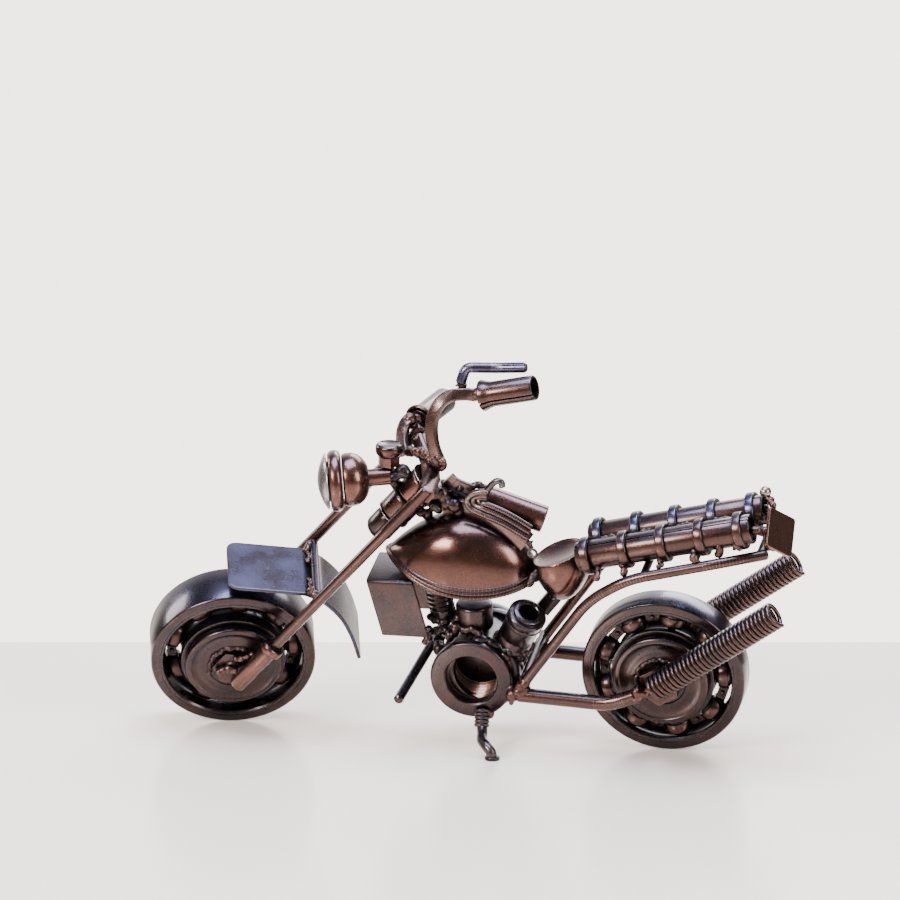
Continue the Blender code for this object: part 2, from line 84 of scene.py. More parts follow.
# Frame, fork and seat
STAY_SPREAD = 11.9
LEG_SPREAD = 12.3
LEG_SETBACK = -4.7
LEG_RADIUS = 1.45
LAMP_DIRECTION = Vector((-0.7466, 0.0, -0.6652))
LAMP_CENTRE = Vector((-15.0, 0, 62.2))
ENGINE_CENTRE = Vector((-48.1, 0.0, -0.3))
ENGINE_HALF_WIDTH = 9.0
ENGINE_BORE = 6.2
REAR_CYLINDER = (Vector((-38.6, -4.4, 7.2)), Vector((-32.6, -8.6, 19.0)))
DOWN_STUD_BASE = (-57.0, 0, 10.9)
COVER_SIZE = (8.0, 15.8, 1.0)
COVER_LEAN = 0.21
TANK_CENTRE = Vector((-51.6, 0.0, 27.3))
TANK_SIZE = (19.5, 11.6, 13.7)
TANK_TILT = 8.8
TANK_RIM_DIP = 4.0
ROLLED_TUBE = (Vector((0.948, 0, -0.318)).normalized(), (-44.9, 4.3, 43.6))
SEAT_START = Vector((-18.1, 0.0, 34.1))
SEAT_LENGTH = 44.5
SEAT_SLOPE = 13.85
SEAT_SPREAD = 5.0
SEAT_TUBE_RADIUS = 3.8
SEAT_RING_RADIUS = 4.85
SEAT_RING_WIDTH = 2.3
SEAT_RING_PITCH = 10.2
SEAT_RIGHT_SHIFT = 1.4
SPRING_SPREAD = 13.8
SPRING_RADIUS = 3.65
SPRING_START = Vector((-0.6, 0.0, 1.6))
SPRING_LENGTH = 41.0
SPRING_RISE = 36.2
SIDES = (("left", -1), ("right", 1))
Y_AXIS = (0, 1, 0)
Z_AXIS = (0, 0, 1)


# Stage, in metres and degrees
CAMERA_AZIMUTH = 13.0
CAMERA_ELEVATION = 14.73
FLOOR_REACH = 1.5
FLOOR_BACK_EDGE = (0.0274, 0.1024, 0.0)
WALL_DIRECTION = (-0.218, 0.943, 0.25)
LIGHTS = (  # name, place, target, size, watts, colour
    ("top_window", (0.02, -0.02, 0.62), (0, 0, 0.04), (0.50, 0.36), 9.0, (0.82, 0.86, 1.0)),
    ("front_window", (-0.42, -0.70, 0.50), (0, 0, 0.05), (0.36, 0.26), 13.0, (1.0, 0.95, 0.90)),
    ("right_window", (0.75, -0.30, 0.40), (0, 0, 0.05), (0.25, 0.45), 6.0, (0.95, 0.95, 1.0)),
    ("left_window", (-0.75, 0.20, 0.35), (0, 0, 0.05), (0.25, 0.35), 4.0, (1.0, 0.93, 0.86)),
    ("back_window", (0.15, 0.75, 0.55), (0, 0.0, 0.05), (0.6, 0.3), 6.0, (1.0, 0.96, 0.92)),
)


# Settings a user would change

def colour_property(name, value, what):
    return bpy.props.FloatVectorProperty(name=name, description=what, default=value, size=3,
                                         min=0.0, max=1.0, subtype='COLOR')


class MotorcyclePlating(bpy.types.PropertyGroup):
    """Colours and finish of the plating."""
    bronze: colour_property("Bronze", (0.078, 0.036, 0.026), "Brown plating of rods, tubes and grips")
    copper: colour_property("Copper", (0.128, 0.056, 0.038), "Reddish plating of tank, covers and nuts")
    # Blued is a plating colour, and also the colour of the painted reflection of the bluish top light on faces
    # that look up.
    blued_and_top_reflection: colour_property("Blued And Top Reflection", (0.046, 0.048, 0.092),
                           "Slate bloom of the plating, strongest on faces that look up")
    dark: colour_property("Dark", (0.028, 0.020, 0.020), "Near-black plating of deep pieces")
    bright: colour_property("Bright", (0.42, 0.36, 0.33), "Polished edges and bearing balls")
    roughness: bpy.props.FloatProperty(name="Roughness", description="Roughness of clean plating",
                                       default=0.22, min=0.02, max=1.0, subtype='FACTOR')
    grain: bpy.props.FloatProperty(name="Grain", description="Depth of the plating's fine grain",
                                   default=0.00006, min=0.0, max=0.001, unit='LENGTH')


class MotorcycleSizes(bpy.types.PropertyGroup):
    """Sizes of the coils, the thread and the weld metal."""
    spring_wire: bpy.props.FloatProperty(name="Spring wire", description="Wire diameter of the exhaust coils",
                                         default=0.00112, min=0.0005, max=0.002, unit='LENGTH')
    thread_pitch: bpy.props.FloatProperty(name="Thread pitch", description="Pitch of the crankcase thread",
                                          default=0.0016, min=0.0005, max=0.003, unit='LENGTH')
    bead_grain: bpy.props.FloatProperty(name="Bead detail", description="Finest lump kept in a weld bead",
                                        default=0.00022, min=0.0001, max=0.001, unit='LENGTH')


# Mesh helpers, all in millimetres

def along(axis):
    return Vector(axis).to_track_quat('Z', 'Y').to_matrix().to_4x4()


def turned(profile, axis=Z_AXIS, centre=(0, 0, 0), segments=96, angle=360.0, start=0.0):
    """Spin (radius, height) points about an axis: a full turn, or a part turn with closed ends."""
    bm = bmesh.new()
    verts = [bm.verts.new((radius, 0, height)) for radius, height in profile]
    whole = angle >= 360.0
    if whole:
        geom = verts + [bm.edges.new(pair) for pair in zip(verts, verts[1:])]
        if profile[0][0] > 0:
            geom.append(bm.edges.new((verts[-1], verts[0])))
    else:
        geom = verts + [bm.faces.new(verts)]
        geom += list(geom[-1].edges)
    bmesh.ops.spin(bm, geom=geom, cent=(0, 0, 0), axis=(0, 0, 1), dvec=(0, 0, 0), angle=radians(angle),
                   steps=segments, use_merge=whole, use_duplicate=False)
    bmesh.ops.remove_doubles(bm, verts=bm.verts, dist=1e-4)
    place = Matrix.Translation(centre) @ along(axis) @ Matrix.Rotation(radians(start), 4, 'Z')
    bmesh.ops.transform(bm, matrix=place, verts=bm.verts)
    return bm


def disc_profile(radius, low, high, edge=0.5, bore=0.0):
    """Outline of a round-edged disc, collar or barrel."""
    corner = [(radius - edge * (1 - sin(a)), low + edge * (1 - cos(a)))
              for a in (0, pi / 8, pi / 4, 3 * pi / 8, pi / 2)]
    outer = corner + [(r, low + high - h) for r, h in reversed(corner)]
    if bore > 0:
        lip = min(edge, 0.3)
        return [(bore, low + lip), (bore + lip, low)] + outer + [(bore + lip, high), (bore, high - lip)]
    return [(0.0, low)] + outer + [(0.0, high)]


def threaded_profile(radius, low, high, pitch, depth, inside=None):
    """Outline of a threaded stub, or of a threaded bore's ring when an outside radius is given."""
    count = max(2, int((high - low) / pitch))
    step = (high - low) / count
    teeth = [(radius, low)]
    for i in range(count):
        base = low + i * step
        teeth += [(radius + depth, base + step * 0.5), (radius, base + step)]
    if inside is None:
        return [(0.0, low)] + teeth + [(0.0, high)]
    return teeth + [(inside, high), (inside, low)]


def hexed(bm, across_flats, beyond, centre, axis):
    """Push the outside of a turned piece out or in to a hexagon."""
    back = (Matrix.Translation(centre) @ along(axis)).inverted()
    forward = back.inverted()
    for vert in bm.verts:
        local = back @ vert.co
        radius = hypot(local.x, local.y)
        if radius < beyond:
            continue
        turn = Vector((local.x, local.y)).angle_signed(Vector((1, 0)))
        sector = (turn + pi / 6) % (pi / 3) - pi / 6
        factor = min(across_flats / 2 / cos(sector), radius * 1.2) / radius
        vert.co = forward @ Vector((local.x * factor, local.y * factor, local.z))
    return bm


def round_outline(radius, sides=20):
    return [(radius * cos(2 * pi * i / sides), radius * sin(2 * pi * i / sides)) for i in range(sides)]


def strip_outline(width, thickness, edge=0.35):
    """Flat bar section with rounded corners."""
    half, depth = width / 2 - edge, thickness / 2 - edge
    corners = ((half, depth, 0), (-half, depth, 90), (-half, -depth, 180), (half, -depth, 270))
    return [(x + edge * cos(radians(a + turn)), y + edge * sin(radians(a + turn)))
            for x, y, turn in corners for a in (0, 30, 60, 90)]


def bent(points, cut_back, steps=12):
    """Polyline whose corners are rounded off as in a bent rod."""
    points = [Vector(p) for p in points]
    path = [points[0]]
    for before, corner, after in zip(points, points[1:], points[2:]):
        start = corner + (before - corner).normalized() * cut_back
        end = corner + (after - corner).normalized() * cut_back
        path += [start.lerp(corner, i / steps).lerp(corner.lerp(end, i / steps), i / steps)
                 for i in range(steps + 1)]
    path.append(points[-1])
    return path


def smooth(points, steps=12):
    """Catmull-Rom curve through the points."""
    points = [Vector(p) for p in points]
    padded = [points[0] * 2 - points[1]] + points + [points[-1] * 2 - points[-2]]
    path = []
    for a, b, c, d in zip(padded, padded[1:], padded[2:], padded[3:]):
        for i in range(steps):
            t = i / steps
            path.append((b * 2 + (c - a) * t + (a * 2 - b * 5 + c * 4 - d) * t ** 2
                         + (b * 3 - a - c * 3 + d) * t ** 3) / 2)
    path.append(points[-1])
    return path


def swept(path, outline, up=Y_AXIS, sizes=None, bm=None):
    """Extrude a section step by step along a path; both ends are closed."""
    bm = bm or bmesh.new()
    path = [Vector(p) for p in path]
    up = Vector(up)
    places = []
    for i, point in enumerate(path):
        tangent = (path[min(i + 1, len(path) - 1)] - path[max(i - 1, 0)]).normalized()
        side = tangent.cross(up).normalized()
        turn = Matrix((side, side.cross(tangent), tangent)).transposed().to_4x4()
        places.append(Matrix.Translation(point) @ turn @ Matrix.Scale(sizes[i] if sizes else 1.0, 4))
    ring = [bm.verts.new(places[0] @ Vector((x, y, 0))) for x, y in outline]
    face = bm.faces.new(ring)
    for before, after in zip(places, places[1:]):
        made = bmesh.ops.extrude_face_region(bm, geom=[face])["geom"]
        face = next(item for item in made if isinstance(item, bmesh.types.BMFace))
        bmesh.ops.transform(bm, matrix=after @ before.inverted(), verts=face.verts)
    return bm


def mirrored(points, side):
    return [Vector((p[0], p[1] * side, p[2])) for p in points]


def rounded_ends(count, least=0.55):
    """Sizes along a rod that round off both of its ends."""
    sizes = [1.0] * count
    sizes[0] = sizes[-1] = least
    return sizes


def rod(path, radius, up=Y_AXIS, sides=20, bm=None):
    """Round rod with softened ends."""
    path = [Vector(p) for p in path]
    ease = radius * 0.35
    first = path[0] + (path[1] - path[0]).normalized() * ease
    last = path[-1] + (path[-2] - path[-1]).normalized() * ease
    path = [path[0], first] + path[1:-1] + [last, path[-1]]
    return swept(path, round_outline(radius, sides), up, rounded_ends(len(path), 0.7), bm)


def lump(bm, centre, radius, stretch=(1, 1, 1), detail=2):
    place = Matrix.Translation(centre) @ Matrix.Diagonal((*stretch, 1))
    bmesh.ops.create_icosphere(bm, subdivisions=detail, radius=radius, matrix=place)


def merge(target, source, matrix=WORLD):
    """Add one bmesh to another through a temporary mesh."""
    bmesh.ops.transform(source, matrix=matrix, verts=source.verts)
    mesh = bpy.data.meshes.new("merge")
    source.to_mesh(mesh)
    source.free()
    target.from_mesh(mesh)
    bpy.data.meshes.remove(mesh)


def sheet(point_at, rows, columns, corner, width, length):
    """Grid bent to point_at(u, v), with both corners at the start rounded off."""
    bm = bmesh.new()
    bmesh.ops.create_grid(bm, x_segments=rows, y_segments=columns, size=1.0)
    for vert in bm.verts:
        u, v = (vert.co.x + 1) / 2, vert.co.y
        past = abs(v) * width / 2 - (width / 2 - corner)
        if past > 0:
            cut = corner - sqrt(max(corner ** 2 - past ** 2, 0.0))
            u = cut / length + u * (1 - cut / length)
        vert.co = point_at(u, v)
    return bm


# Finishing a piece

def finish(name, bm, place, finish_name, body, nodes=(), closed=True):
    """Make a bmesh in millimetres an object of the scene, in its place, on its body."""
    bmesh.ops.remove_doubles(bm, verts=bm.verts, dist=1e-5)
    bmesh.ops.transform(bm, matrix=Matrix.Scale(MM, 4) @ place, verts=bm.verts)
    if closed:
        bmesh.ops.recalc_face_normals(bm, faces=bm.faces)
    mesh = bpy.data.meshes.new(name)
    bm.to_mesh(mesh)
    bm.free()
    mesh.materials.append(plated(finish_name))
    mesh.shade_smooth()
    mesh.set_sharp_from_angle(angle=radians(38))
    obj = bpy.data.objects.new(name, mesh)
    bpy.context.scene.collection.objects.link(obj)
    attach(obj, body)
    if nodes:
        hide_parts(*nodes)
    return obj


def bevelled(obj, width, segments=3, angle=40):
    bevel = obj.modifiers.new("edges", 'BEVEL')
    bevel.width = width * MM
    bevel.segments = segments
    bevel.limit_method = 'ANGLE'
    bevel.angle_limit = radians(angle)
    bevel.use_clamp_overlap = True
    return obj


def walled(obj, thickness, offset=0.0):
    wall = obj.modifiers.new("wall", 'SOLIDIFY')
    wall.thickness = thickness * MM
    wall.offset = offset
    wall.use_even_offset = True
    return obj


def weld(name, runs, place, body, seed, finish_name="weld"):
    """Lumpy weld metal along one or more runs of (points, radius)."""
    rng = random.Random(seed)
    bm = bmesh.new()
    for points, radius in runs:
        points = [Vector(p) for p in points]
        pairs = list(zip(points, points[1:])) or [(points[0], points[0] + Vector((0, 0, 0.01)))]
        for start, end in pairs:
            steps = max(1, round((end - start).length / (radius * 0.75)))
            for i in range(steps + 1):
                stray = Vector([rng.uniform(-0.3, 0.3) * radius for _ in range(3)])
                stretch = [rng.uniform(0.75, 1.15) for _ in range(3)]
                lump(bm, start.lerp(end, i / steps) + stray, radius * rng.uniform(0.75, 1.05), stretch)
                if rng.random() < 0.35:
                    stray = Vector([rng.uniform(-1, 1) for _ in range(3)]).normalized() * radius
                    lump(bm, start.lerp(end, i / steps) + stray, radius * rng.uniform(0.18, 0.34))
    obj = finish(name, bm, place, finish_name, body)
    remesh = obj.modifiers.new("fuse", 'REMESH')
    remesh.mode = 'VOXEL'
    remesh.voxel_size = bpy.context.scene.motorcycle_sizes.bead_grain
    remesh.use_smooth_shade = True
    soften = obj.modifiers.new("soften", 'SMOOTH')
    soften.factor = 0.5
    soften.iterations = 2
    return obj


# Materials


def node(tree, kind, inputs=None, **settings):
    made = tree.nodes.new(kind)
    for key, value in settings.items():
        setattr(made, key, value)
    for key, value in (inputs or {}).items():
        if isinstance(value, bpy.types.NodeSocket):
            tree.links.new(value, made.inputs[key])
        else:
            made.inputs[key].default_value = value
    return made


def maths(tree, operation, a, b=0.0, clamp=False):
    return node(tree, 'ShaderNodeMath', {0: a, 1: b}, operation=operation, use_clamp=clamp).outputs[0]


def mixed(tree, factor, a, b, blend='MIX'):
    return node(tree, 'ShaderNodeMix', {0: factor, 6: a, 7: b}, data_type='RGBA',
                blend_type=blend).outputs[2]


def ranged(tree, value, low, high, to_low=0.0, to_high=1.0):
    return node(tree, 'ShaderNodeMapRange', {0: value, 1: low, 2: high, 3: to_low, 4: to_high}).outputs[0]


def noise_value(tree, vector, scale, detail=3.0, roughness=0.55):
    return node(tree, 'ShaderNodeTexNoise', {"Vector": vector, "Scale": scale, "Detail": detail,
                                             "Roughness": roughness}).outputs["Fac"]


def group_with(name, inputs, outputs):
    tree = bpy.data.node_groups.new(name, 'ShaderNodeTree')
    for title, kind, value in inputs:
        socket = tree.interface.new_socket(title, in_out='INPUT', socket_type=kind)
        if value is not None:
            socket.default_value = value
    for title, kind in outputs:
        tree.interface.new_socket(title, in_out='OUTPUT', socket_type=kind)
    return tree, tree.nodes.new('NodeGroupInput').outputs, tree.nodes.new('NodeGroupOutput').inputs


def edge_wear_highlight_and_shade_masks():
    """Group: 1 on a sharp edge, where plating is lightened for rubbing and a painted highlight, and 1 in a
    crevice, where it is darkened with painted shade and made rougher.
    """
    if "edge_and_crevice" in bpy.data.node_groups:
        return bpy.data.node_groups["edge_and_crevice"]
    tree, given, out = group_with(
        "edge_and_crevice",
        [("Edge Width", 'NodeSocketFloat', 0.0003), ("Crevice Reach", 'NodeSocketFloat', 0.004)],
        [("Edge", 'NodeSocketFloat'), ("Crevice", 'NodeSocketFloat')])
    rounded = node(tree, 'ShaderNodeBevel', {"Radius": given["Edge Width"]}, samples=4)
    surface = node(tree, 'ShaderNodeNewGeometry')
    dot = node(tree, 'ShaderNodeVectorMath', {0: rounded.outputs[0], 1: surface.outputs["Normal"]},
               operation='DOT_PRODUCT').outputs["Value"]
    tree.links.new(ranged(tree, dot, 0.945, 0.74), out["Edge"])
    hollow = node(tree, 'ShaderNodeAmbientOcclusion', {"Distance": given["Crevice Reach"]}, samples=6)
    tree.links.new(ranged(tree, hollow.outputs["AO"], 0.92, 0.38), out["Crevice"])
    return tree


def plate_group():
    """Group: mottled, grained and scratched plating over any base and tint, with a painted reflection of the
    bluish top light on faces that look up, edges lightened for rubbed plating and a painted highlight, and
    painted shade in crevices.
    """
    if "plating" in bpy.data.node_groups:
        return bpy.data.node_groups["plating"]
    tree, given, out = group_with(
        "plating",
        [("Vector", 'NodeSocketVector', None), ("Base", 'NodeSocketColor', None),
         ("Tint", 'NodeSocketColor', None), ("Rub And Highlight", 'NodeSocketColor', None),
         ("Painted Crevice Shade", 'NodeSocketColor', None), ("Painted Top Reflection", 'NodeSocketColor', None),
         ("Painted Top Reflection Amount", 'NodeSocketFloat', 0.7), ("Edge", 'NodeSocketFloat', 0.0),
         ("Crevice", 'NodeSocketFloat', 0.0), ("Mottle Scale", 'NodeSocketFloat', 150.0),
         ("Grain Scale", 'NodeSocketFloat', 2400.0), ("Tint Amount", 'NodeSocketFloat', 0.6),
         ("Roughness", 'NodeSocketFloat', 0.2)],
        [("Color", 'NodeSocketColor'), ("Roughness", 'NodeSocketFloat'), ("Height", 'NodeSocketFloat')])
    vector = given["Vector"]
    mottle = ranged(tree, noise_value(tree, vector, given["Mottle Scale"], 5.0), 0.36, 0.66)
    grain = noise_value(tree, vector, given["Grain Scale"], 4.0, 0.65)
    speck = node(tree, 'ShaderNodeTexVoronoi', {"Vector": vector, "Scale": given["Grain Scale"]})
    pits = ranged(tree, speck.outputs["Distance"], 0.10, 0.26)
    long_vector = node(tree, 'ShaderNodeMapping', {"Vector": vector, "Rotation": (0.4, 0.7, 0.2),
                                                   "Scale": (1.0, 14.0, 9.0)}).outputs[0]
    scratch = ranged(tree, noise_value(tree, long_vector, 260.0, 6.0, 0.7), 0.60, 0.74)
    colour = mixed(tree, maths(tree, 'MULTIPLY', mottle, given["Tint Amount"]), given["Base"],
                   given["Tint"])
    # Painted reflection: faces that look up take the slate colour of the bluish top light, in random patches.
    normal = node(tree, 'ShaderNodeNewGeometry').outputs["Normal"]
    facing = node(tree, 'ShaderNodeSeparateXYZ', {0: normal})
    patch = ranged(tree, noise_value(tree, vector, 95.0, 3.0), 0.30, 0.62, 0.45, 1.0)
    painted_top_reflection = maths(tree, 'MULTIPLY', ranged(tree, facing.outputs["Z"], 0.25, 0.90), patch)
    colour = mixed(tree, maths(tree, 'MULTIPLY', painted_top_reflection, given["Painted Top Reflection Amount"]), colour, given["Painted Top Reflection"])
    shade = ranged(tree, grain, 0.30, 0.72, 0.72, 1.30)
    colour = mixed(tree, 1.0, colour, node(tree, 'ShaderNodeCombineColor',
                                           {0: shade, 1: shade, 2: shade}).outputs[0], 'MULTIPLY')
    # Edges lightened: partly rubbed plating, partly a painted highlight.
    worn_and_lit_edge = maths(tree, 'MULTIPLY', given["Edge"], ranged(tree, mottle, 0.0, 1.0, 0.35, 1.0), True)
    colour = mixed(tree, worn_and_lit_edge, colour, given["Rub And Highlight"])
    # Painted shade: hollows found by ambient occlusion are darkened to near black.
    colour = mixed(tree, maths(tree, 'MULTIPLY', given["Crevice"], 0.92), colour, given["Painted Crevice Shade"])
    tree.links.new(colour, out["Color"])
    rough = maths(tree, 'MULTIPLY_ADD', mottle, 0.10)
    rough.node.inputs[2].default_value = 0.0
    rough = maths(tree, 'ADD', rough, given["Roughness"])
    rough = maths(tree, 'ADD', rough, maths(tree, 'MULTIPLY', scratch, 0.10))
    rough = maths(tree, 'ADD', rough, maths(tree, 'MULTIPLY', given["Crevice"], 0.22), True)
    tree.links.new(rough, out["Roughness"])
    height = maths(tree, 'ADD', maths(tree, 'MULTIPLY', grain, 0.55),
                   maths(tree, 'MULTIPLY', pits, 0.30))
    height = maths(tree, 'SUBTRACT', height, maths(tree, 'MULTIPLY', scratch, 0.18))
    tree.links.new(height, out["Height"])
    return tree


def bead_group():
    """Group: frozen ripples and spatter pits of weld metal."""
    if "weld_ripples" in bpy.data.node_groups:
        return bpy.data.node_groups["weld_ripples"]
    tree, given, out = group_with(
        "weld_ripples", [("Vector", 'NodeSocketVector', None), ("Scale", 'NodeSocketFloat', 700.0)],
        [("Height", 'NodeSocketFloat'), ("Pits", 'NodeSocketFloat')])
    cells = node(tree, 'ShaderNodeTexVoronoi', {"Vector": given["Vector"], "Scale": given["Scale"]},
                 feature='SMOOTH_F1')
    ripple = noise_value(tree, given["Vector"], 1500.0, 5.0, 0.6)
    tree.links.new(maths(tree, 'ADD', cells.outputs["Distance"], ripple), out["Height"])
    tree.links.new(ranged(tree, cells.outputs["Distance"], 0.25, 0.6), out["Pits"])
    return tree


# finish: base, tint, amount of tint, amount of painted top-light reflection on faces that look up, roughness
# added, grain depth factor, edge width
FINISHES = {
    "bronze": ("bronze", "dark", 0.55, 0.75, 0.02, 1.0, 0.00028),
    "copper": ("copper", "bronze", 0.60, 0.55, 0.00, 0.9, 0.00028),
    "tank": ("bronze", "copper", 0.50, 0.45, -0.04, 0.6, 0.00022),
    "blued_and_top_reflection": ("blued_and_top_reflection", "bronze", 0.45, 0.90, 0.03, 0.8, 0.00030),
    "dark": ("dark", "bronze", 0.45, 0.70, 0.03, 1.0, 0.00026),
    "race": ("dark", "bronze", 0.40, 1.00, 0.00, 0.5, 0.00022),
    "shade": ("dark", "blued_and_top_reflection", 0.80, 0.35, 0.02, 0.7, 0.00030),
    "weld": ("bronze", "copper", 0.55, 0.50, 0.05, 2.2, 0.00035),
    "dark_weld": ("dark", "bronze", 0.70, 0.60, 0.05, 2.2, 0.00035),
    "bright": ("bright", "copper", 0.45, 0.20, -0.04, 0.4, 0.0002),
    "lens": ("bright", "blued_and_top_reflection", 0.85, 0.30, 0.02, 0.5, 0.0002),
}


def plated(name):
    """Material of one finish, made the first time it is asked for."""
    title = name + "_plating"
    if title in bpy.data.materials:
        return bpy.data.materials[title]
    settings = bpy.context.scene.motorcycle_plating
    base, tint, amount, painted_top_reflection, extra, depth, edge_width = FINISHES[name]
    material = bpy.data.materials.new(title)
    material.use_nodes = True
    tree = material.node_tree
    shader = tree.nodes["Principled BSDF"]
    shader.inputs["Metallic"].default_value = 1.0
    shader.inputs["Coat Weight"].default_value = 0.35
    shader.inputs["Coat Roughness"].default_value = 0.12
    place = node(tree, 'ShaderNodeTexCoord').outputs["Object"]
    masks = node(tree, 'ShaderNodeGroup', node_tree=edge_wear_highlight_and_shade_masks())
    masks.inputs["Edge Width"].default_value = edge_width
    plate = node(tree, 'ShaderNodeGroup', node_tree=plate_group())
    tree.links.new(place, plate.inputs["Vector"])
    tree.links.new(masks.outputs["Edge"], plate.inputs["Edge"])
    tree.links.new(masks.outputs["Crevice"], plate.inputs["Crevice"])
    # Lighter edge colour for rubbed plating and a painted highlight; near-black painted crevice shade; slate
    # painted reflection of the top light on faces that look up.
    rub_and_highlight = [min(1.0, c * 2.0 + 0.15) for c in getattr(settings, base)]
    for socket, colour in (("Base", getattr(settings, base)), ("Tint", getattr(settings, tint)),
                           ("Rub And Highlight", rub_and_highlight), ("Painted Crevice Shade", (0.008, 0.006, 0.006)), ("Painted Top Reflection", settings.blued_and_top_reflection)):
        plate.inputs[socket].default_value = (*colour, 1.0)
    plate.inputs["Tint Amount"].default_value = amount
    plate.inputs["Painted Top Reflection Amount"].default_value = painted_top_reflection
    plate.inputs["Roughness"].default_value = settings.roughness + extra
    tree.links.new(plate.outputs["Color"], shader.inputs["Base Color"])
    tree.links.new(plate.outputs["Roughness"], shader.inputs["Roughness"])
    height = plate.outputs["Height"]
    if "weld" in name:
        beads = node(tree, 'ShaderNodeGroup', node_tree=bead_group())
        tree.links.new(place, beads.inputs["Vector"])
        height = maths(tree, 'ADD', height, beads.outputs["Height"])
    bump = node(tree, 'ShaderNodeBump', {"Height": height, "Strength": 0.8,
                                         "Distance": settings.grain * depth})
    tree.links.new(bump.outputs[0], shader.inputs["Normal"])
    return material


def pale_material(name, colour, roughness, scale):
    """Glossy pale paint for the stage, with a very faint cloudiness."""
    material = bpy.data.materials.new(name)
    material.use_nodes = True
    tree = material.node_tree
    shader = tree.nodes["Principled BSDF"]
    place = node(tree, 'ShaderNodeTexCoord').outputs["Object"]
    cloud = noise_value(tree, place, scale, 2.0)
    lighter = [c * 1.03 for c in colour]
    shader.inputs["IOR"].default_value = 1.9
    tree.links.new(mixed(tree, cloud, (*colour, 1.0), (*lighter, 1.0)), shader.inputs["Base Color"])
    uneven = ranged(tree, cloud, 0.0, 1.0, roughness, roughness + 0.06)
    tree.links.new(uneven, shader.inputs["Roughness"])
    return material


# Pieces

class PieceOperator(bpy.types.Operator):
    """Shared base of the operators that build pieces."""
    bl_idname = "motorcycle.piece"
    bl_label = "Motorcycle Piece"
    bl_options = {'REGISTER', 'UNDO'}

    def execute(self, context):
        self.build(context.scene.motorcycle_sizes)
        return {'FINISHED'}


